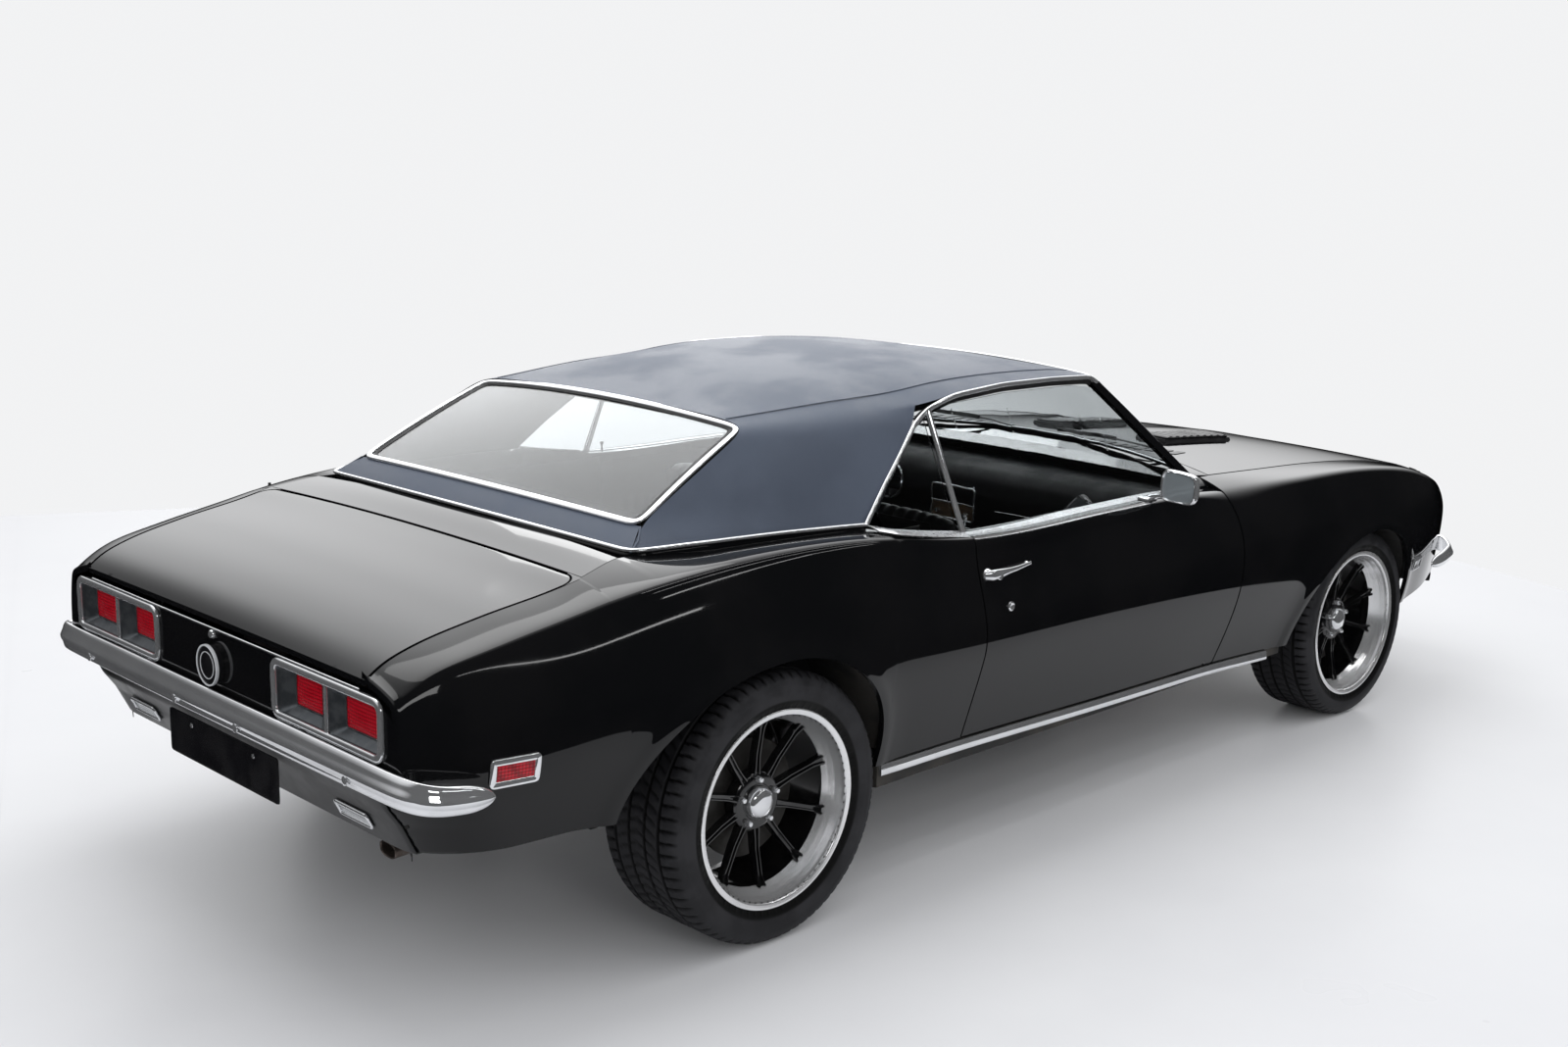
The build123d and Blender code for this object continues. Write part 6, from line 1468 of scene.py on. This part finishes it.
def seats():
    """Front buckets and rear bench as stuffed pads with sewn channels."""
    bottom = [(-318, 312), (-318, 402), (40, 424), (160, 428), (186, 398), (178, 312)]
    back = [(-312, 436), (-372, 620), (-436, 868), (-405, 900), (-356, 884), (-290, 690), (-214, 480),
            (-222, 440)]
    for name, sign in (("left", 1), ("right", -1)):
        ends = sorted((sign * 150, sign * 608))
        lines = [sign * v for v in (230, 270, 310, 350, 390, 430, 470, 510, 545)]
        pad(f"front_seat_pad_{name}", bottom, *ends, "front_seats", lines)
        pad(f"front_seat_back_{name}", back, *sorted((sign * 158, sign * 600)), None, lines)
    lines = [sign * v for sign in (-1, 1) for v in (90, 150, 210, 270, 330, 390, 450)]
    pad("rear_seat_pad", [(-1112, 440), (-1112, 515), (-660, 538), (-614, 505), (-614, 440)], -565, 565,
        "rear_seat", lines, edge=0.06)
    pad("rear_seat_back", [(-1138, 575), (-1238, 640), (-1240, 915), (-1165, 920), (-1000, 580)], -565, 565,
        None, lines, edge=0.06)
    feet = [block(-300, 150, s * 380 - 170, s * 380 + 170, 262, 314, 8) for s in (-1, 1)]
    shells = []
    for s in (-1, 1):
        v = np.linspace(0, 1, 24)[:, None]
        u = np.linspace(-1, 1, 20)[None, :]
        grid = points_of(-322 - 128 * v - 12 * (1 - u**2) * np.sin(math.pi * v),
                         s * 380 + 205 * u * (1 - 0.12 * v**3), 440 + 425 * v)
        shells.append(sheet(grid, facing=(-1, 0, 0)))
    piece("seat_frames", feet + shells, "plastic", thick=3)


def cabin():
    """Dash, instruments, console, wheel, door trims, carpet, parcel shelf and mirror."""
    outline = run_along([(352, 664), (312, 716), (308, 776), (332, 832), (372, 856), (440, 868), (528, 872),
                         (592, 870), (592, 668)],
                        90, 12, closed=True)
    rows = carried_across(outline, np.linspace(-728, 728, 60))
    column = turned_about((588, 375, 550), (-468, 0, 205),
                          [(0, 0), (0, 24), (440, 24), (470, 30), (476, 28), (480, 10), (480, 0)], 32)
    piece("dash_pad", [sheet(rows, around=True), column], "plastic", stands_for=["dashboard"])
    dials, rims = [], []
    for y, z, radius in ((462, 776, 62), (290, 776, 62), (376, 790, 22)):
        dials.append(turned_about((318, y, z), (-1, 0, 0.12),
                                  [(0, 0), (0, radius), (9, radius), (9, radius - 6), (5, radius - 7),
                                   (5, 0)], 56))
        rims.append(turned_about((318, y, z), (-1, 0, 0.12),
                                 [(7, radius + 1), (12, radius), (12, radius - 5), (7, radius - 6)], 56))
    piece("instrument_dials", dials, "dial")
    for z0, z1 in ((590, 668), (690, 800)):
        rims.append(tube(rounded_loop(-92, 92, z0, z1, 12, 303, 80), round_bar(4, 3.5, 2.5, 10),
                         up=(1, 0, 0), closed=True))
    rims += [block(302, 306, -640, -180, 741, 745, 1.5), block(303, 308, -92, 92, 742, 746, 1.5)]
    knob = [(0, 0), (0, 8), (16, 7), (18, 0)]
    rims += [turned_about((306, y, 712), (-1, 0, 0), knob, 20) for y in (-60, 60)]
    piece("dash_bright_parts", rims, "chrome")
    piece("dash_panels", [block(304, 309, -88, 88, 694, 740, 2), block(304, 309, -88, 88, 594, 664, 2)],
          "wood")
    top = run_along([(-378, 434), (-378, 512), (-350, 524), (-60, 534), (160, 549), (322, 636), (356, 640),
                     (416, 434)], 80, 10, closed=True)
    rows = [np.column_stack([top[:, 0], np.full(80, y), top[:, 1]]) for y in (-92, -92, -86, 0, 86, 92, 92)]
    rows[0], rows[-1] = rows[0] * 0 + rows[0].mean(0), rows[-1] * 0 + rows[-1].mean(0)
    lever = turned_about((60, 0, 540), (-0.15, 0, 1), [(0, 0), (0, 26), (8, 22), (12, 7), (120, 6),
                                                       (130, 16), (150, 17), (160, 10), (162, 0)], 28)
    piece("console_shell", [sheet(np.array(rows), around=True)], "plastic", stands_for=["console"])
    piece("console_plate", [block(-330, 120, -62, 62, 531, 539, 3)], "wood")
    piece("shift_lever", [lever], "chrome")
    steering()
    floor = points_of(np.linspace(590, -620, 60)[:, None], np.linspace(-695, 695, 90)[None, :], 0.0)
    hump = np.clip((155 - np.abs(floor[..., 1])) / 26, 0, 1)
    floor[..., 2] = 259 + 174 * hump * hump * (3 - 2 * hump)
    piece("floor_carpet", [sheet(floor, facing=(0, 0, 1))], "carpet", slot="seat_vinyl")
    shelf = points_of(np.linspace(-1240, -1560, 20)[:, None], np.linspace(-600, 600, 40)[None, :], 0.0)
    shelf[..., 2] = 947 + 40 * np.clip((-1400 - shelf[..., 0]) / 160, 0, 1) ** 2
    piece("parcel_shelf", [sheet(shelf, facing=(0, 0, 1))], "liner", slot="seat_vinyl")
    glass = [block(292, 312, -110, 110, 1142, 1188, 8)]
    stem = [tube(run_along([(305, 0, 1184), (270, 0, 1205), (262, 0, 1222)], 16, 6), round_bar(5, 5, 2, 12),
                 up=(0, 1, 0))]
    piece("inside_mirror", glass + stem, "plastic")
    for side in ("left", "right"):
        door_trim(side)
    x = np.linspace(-1130, -625, 30)[:, None]
    low, high = 440, 905
    z = np.linspace(low, high, 24)[None, :]
    y = 640 + 40 * (z - low) / (high - low)
    trim = sheet(points_of(x, y, z), facing=(0, -1, 0))
    piece("rear_side_trims", pair([trim]), "hide", thick=4)


def door_trim(side):
    """Padded door trim with pleats, armrest, window crank and pull."""
    body = f"door_{side}"
    flip = (lambda parts: parts) if side == "left" else other_side
    x = np.linspace(-585, 570, 150)[:, None]
    z = np.linspace(352, 868, 60)[None, :]
    pleat = 2.5 * np.abs(np.sin(math.pi * x / 46))
    pleat = pleat * np.clip((z - 470) / 20, 0, 1) * np.clip((740 - z) / 20, 0, 1)
    y = 768 - pleat
    part = [sheet(points_of(x, y, z), facing=(0, -1, 0))]
    rest = run_along([(-330, 742, 642), (-120, 738, 640), (110, 744, 652)], 40, 20)
    part.append(tube(rest, round_bar(22, 26, 2.6, 20), up=(0, 0, 1)))
    piece(f"door_trim_{side}", flip(part), "hide", body=body, slot="seat_vinyl")
    crank = [turned_about((-10, 767, 560), (0, -1, 0), [(0, 0), (0, 18), (8, 16), (14, 8), (14, 0)], 28)]
    crank.append(tube(run_along([(-10, 750, 560), (40, 744, 590), (70, 742, 606)], 20, 6),
                      round_bar(6, 3.5, 2.5, 12), up=(0, 1, 0)))
    crank.append(turned_about((70, 743, 606), (0, -1, 0), [(0, 0), (0, 9), (16, 11), (22, 9), (23, 0)], 24))
    crank.append(tube(run_along([(250, 764, 690), (262, 740, 692), (340, 740, 700), (352, 764, 702)], 30,
                                6), round_bar(6, 4, 2.4, 12)))
    piece(f"door_bright_parts_{side}", flip(crank), "chrome", body=body)


def steering():
    """Steering wheel: round rim about the column, three flat spokes and a hub."""
    centre = np.array([120.0, 375, 755])
    foot = np.array([599.7, 375, 545])
    way = (centre - foot) / np.linalg.norm(centre - foot)
    side = np.array([0.0, 1, 0])
    over = np.cross(way, side)
    a = np.linspace(0, 2 * math.pi, 120, endpoint=False)[:, None]
    ring = centre + 185 * (np.cos(a) * side + np.sin(a) * over)
    parts = [tube(ring, round_bar(11, 12, 2, 20), up=way, closed=True)]
    piece("steering_rim", parts, "plastic", body="steering_wheel", stands_for=["steering_wheel"])
    spokes = []
    for angle in (0.0, math.pi, -math.pi / 2):
        out = math.cos(angle) * side + math.sin(angle) * over
        reach = np.linspace(22, 178, 24)[:, None]
        dish = 10 * np.cos(np.linspace(0, math.pi / 2, 24))[:, None]
        line = centre[None] + reach * out[None] - way * dish
        spokes.append(tube(line, round_bar(13, 2.6, 4, 14), up=way))
    spokes.append(turned_about(centre - way * 30, way, [(0, 0), (0, 36), (22, 40), (32, 36), (36, 20),
                                                        (37, 0)], 48))
    piece("steering_spokes", spokes, "chrome", body="steering_wheel", slot="dash_plastic")


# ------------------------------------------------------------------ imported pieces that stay
def exhaust_and_tank():
    """Twin pipes with rear silencers and flattened tips, and a tank with its rear edge cut away."""
    run = run_along([(1000, 263, 262), (760, 200, 180), (-640, 200, 180), (-1040, 340, 205),
                     (-1205, 400, 440), (-1480, 400, 440),
                     (-1640, 440, 360), (-1760, 480, 338), (-2090, 485, 338)], 110, 30)
    pipes = [tube(run, round_bar(27, 27, 2, 24)),
             tube(run_along([(-1700, 478, 345), (-2010, 484, 340)], 30), round_bar(68, 38, 2.4, 40),
                  scale=np.sin(np.linspace(0.5, 2.64, 30)) ** 0.3)]
    piece("exhaust_pipes", pair(pipes), "dark_steel", stands_for=["exhaust"])
    tips = [tube(run_along([(-2085, 484, 337), (-2158, 483, 334)], 12), round_bar(33, 19, 2.6, 40),
                 capped=False),
            tube(run_along([(-2158, 483, 334), (-2090, 484, 337)], 12), round_bar(31, 17, 2.6, 40),
                 capped=False)]
    piece("exhaust_tips", pair(tips), "tip_steel", thick=0.6)
    outline = run_along([(-1700, 462), (-1700, 335), (-1760, 316), (-2060, 312), (-2165, 384),
                         (-2178, 462)], 80, 12, closed=True)
    rows = carried_across(outline, np.linspace(-395, 395, 30))
    piece("fuel_tank_shell", [sheet(rows, around=True)], "dark_steel", stands_for=["fuel_tank"])


def dress_packed_pieces():
    """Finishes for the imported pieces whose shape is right."""
    table = {
        "paint": ["hood", "deck_filler", "nose_panel", "tail_panel", "cowl"], "black": ["hood_inserts"],
        "glass": ["door_glass_left", "door_glass_right", "quarter_glass"],
        "under": ["floor_pan", "front_subframe", "inner_fenders", "rear_axle"], "engine": ["engine"],
        "dark_steel": ["driveline", "knuckle_left", "knuckle_right"],
    }
    for name, nodes in table.items():
        for node in nodes:
            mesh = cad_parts[node].data
            for k in range(max(len(mesh.materials), 1)):
                if len(mesh.materials):
                    mesh.materials[k] = FINISH[name]
                else:
                    mesh.materials.append(FINISH[name])


# ------------------------------------------------------------------ studio
EYE = (-4.282, -3.931, 1.933)       # camera's place in metres
AIM = (45.84, -11.91, 1.01)         # its yaw, pitch and roll in degrees
SENSOR, LENS = 36, 42.8715          # mm


def set_or_link(tree, socket, value):
    """Set a socket to a number, or link another socket to it."""
    if isinstance(value, (int, float)):
        socket.default_value = value
    else:
        tree.links.new(value, socket)


def number(tree, operation, a, b):
    """Math node's result for two numbers or sockets."""
    node = add(tree, "ShaderNodeMath", operation=operation)
    set_or_link(tree, node.inputs[0], a)
    set_or_link(tree, node.inputs[1], b)
    return node.outputs[0]


def soft_step(tree, value, start, end, low, high):
    """Smooth step of a value from low at start to high at end."""
    node = add(tree, "ShaderNodeMapRange", interpolation_type="SMOOTHSTEP")
    for key, amount in (("From Min", start), ("From Max", end), ("To Min", low), ("To Max", high)):
        node.inputs[key].default_value = amount
    tree.links.new(value, node.inputs["Value"])
    return node.outputs["Result"]


def between(tree, share, a, b):
    """a + share * (b - a)."""
    node = add(tree, "ShaderNodeMix", data_type="FLOAT")
    set_or_link(tree, node.inputs["Factor"], share)
    set_or_link(tree, node.inputs["A"], a)
    set_or_link(tree, node.inputs["B"], b)
    return node.outputs["Result"]


def studio():
    """Pale glossy floor, soft lamps, pale surroundings and the camera."""
    scene = bpy.context.scene
    back_edge = [(3.4, -1.6), (3.99, 0.06), (4.9, 2.6), (2.6, 3.55), (0.70, 4.49), (-0.7, 5.2)]
    floors = [("floor", 0.0, [(-3.3, -1.0), (-0.6, -2.62), (3.75, -0.72), *back_edge[1:]]),
              ("floor_beyond", -0.001, [(-9, -9), (5.2, -9), *back_edge, (-9, 9)])]
    mat = finish("floor", (0.66, 0.665, 0.685), 0.26, (0.71, 0.715, 0.73), 0.38, scale=0.55,
                 span=(0.25, 0.75),
                 Specular_IOR_Level=0.08)[0]
    for name, height, outline in floors:
        mesh = bpy.data.meshes.new(name)
        mesh.from_pydata([(x, y, height) for x, y in outline], [], [tuple(range(len(outline)))])
        mesh.materials.append(mat)
        floor = bpy.data.objects.new(name, mesh)
        scene.collection.objects.link(floor)
        floor.visible_glossy = name == "floor"
    world = bpy.data.worlds.new("surroundings")
    scene.world = world
    world.use_nodes = True
    tree = world.node_tree
    back = tree.nodes["Background"]
    path = add(tree, "ShaderNodeLightPath")
    place = add(tree, "ShaderNodeTexCoord")
    link = tree.links.new
    lobes = []
    for way, start, low, high in (((0.50, 0.55, 0.67), 0.60, 0.012, 2.6),
                                  ((-0.55, 0.45, 0.70), 0.72, 0.0, 0.9)):
        along = add(tree, "ShaderNodeVectorMath", operation="DOT_PRODUCT")
        along.inputs[1].default_value = way
        link(place.outputs["Generated"], along.inputs[0])
        lobes.append(soft_step(tree, along.outputs["Value"], start, 1.0, low, high))
    reach = number(tree, "ADD", *lobes)
    height = add(tree, "ShaderNodeSeparateXYZ")
    link(place.outputs["Generated"], height.inputs[0])
    above = soft_step(tree, height.outputs["Z"], -0.10, 0.03, 0.06, 1.0)
    wall = number(tree, "MULTIPLY", reach, above)
    clean = number(tree, "SUBTRACT", 1.0, number(tree, "MINIMUM", 1.0, number(
        tree, "ADD", path.outputs["Diffuse Depth"], path.outputs["Glossy Depth"])))
    direct = number(tree, "MULTIPLY", path.outputs["Is Transmission Ray"], clean)
    seen = number(tree, "MAXIMUM", path.outputs["Is Camera Ray"], direct)
    through = number(tree, "MULTIPLY", path.outputs["Is Transmission Ray"], path.outputs["Glossy Depth"])
    mirrored = number(tree, "MINIMUM", 1.0, number(tree, "MAXIMUM", path.outputs["Is Glossy Ray"], through))
    level = between(tree, seen, between(tree, mirrored, 0.95, wall), 0.90)
    back.inputs["Color"].default_value = (0.985, 0.99, 1.0, 1)
    link(level, back.inputs["Strength"])
    lamps = [("overhead", (-0.9, 0.6, 4.8), (-0.9, 0, 0), 4.6, 2.6, 84),
             ("back", (3.4, 4.6, 3.4), (0, 0, 0.6), 4.0, 2.2, 60),
             ("window", (-3.4, -5.8, 3.0), (-0.5, 0, 0.5), 2.2, 0.9, 30)]
    lamps += [(f"tube_{k}", (x, y, z), (x, y * 0.2, 0), 3.4, 0.09, 9) for k, (x, y, z) in enumerate(
        ((1.6, -1.9, 4.4), (2.0, -3.2, 4.3), (2.6, -4.6, 4.1), (0.4, -6.0, 3.8)))]
    for name, spot, aim, wide, tall, power in lamps:
        lamp = bpy.data.lights.new(name, "AREA")
        lamp.shape, lamp.size, lamp.size_y, lamp.energy = "RECTANGLE", wide, tall, power
        obj = bpy.data.objects.new(name, lamp)
        scene.collection.objects.link(obj)
        obj.location = spot
        obj.rotation_euler = (Vector(aim) - Vector(spot)).to_track_quat("-Z", "Y").to_euler()
    camera = bpy.data.cameras.new("camera")
    camera.lens, camera.sensor_width, camera.clip_end = LENS, SENSOR, 200
    eye = bpy.data.objects.new("camera", camera)
    scene.collection.objects.link(eye)
    right, up, ahead = camera_axes(*[math.radians(a) for a in AIM])
    eye.matrix_world = Matrix.Translation(EYE) @ Matrix((right, up, -ahead)).transposed().to_4x4()
    scene.camera = eye
    scene.view_settings.view_transform = "Standard"


def camera_axes(yaw, pitch, roll):
    """Right, up and forward directions of a camera turned by yaw about z, then tilted and rolled."""
    ahead = Vector((math.cos(yaw) * math.cos(pitch), math.sin(yaw) * math.cos(pitch), math.sin(pitch)))
    level = Vector((math.sin(yaw), -math.cos(yaw), 0))
    rise = level.cross(ahead)
    right = level * math.cos(roll) + rise * math.sin(roll)
    up = rise * math.cos(roll) - level * math.sin(roll)
    return right, up, ahead


quarter_panels()
front_fenders()
for side in ("left", "right"):
    door(side)
    handle_and_mirror(side)
hood()
trunk_lid()
lid_corner_fills()
deck_and_nose()
roof_skin()
windows()
bright_lines()
tail_lamps()
tail_panel()
bumper("rear_bumper_blade", REAR_BUMPER, "rear_bumper")
bumper("front_bumper_blade", FRONT_BUMPER, "front_bumper")
valances()
side_markers()
pillar_feet()
licence_plate()
nose_details()
# axle x, then the rim's outer face |y|, rim width, tyre radius and tyre width
WHEELS = (("rear", -1330.0, (893, 260, 338, 275)), ("front", 1413.0, (868, 225, 321, 238)))
for end, x, sizes in WHEELS:
    for side in ("left", "right"):
        wheel(f"wheel_{end}_{side}", x, *sizes)
seats()
cabin()
exhaust_and_tank()
dress_packed_pieces()
studio()
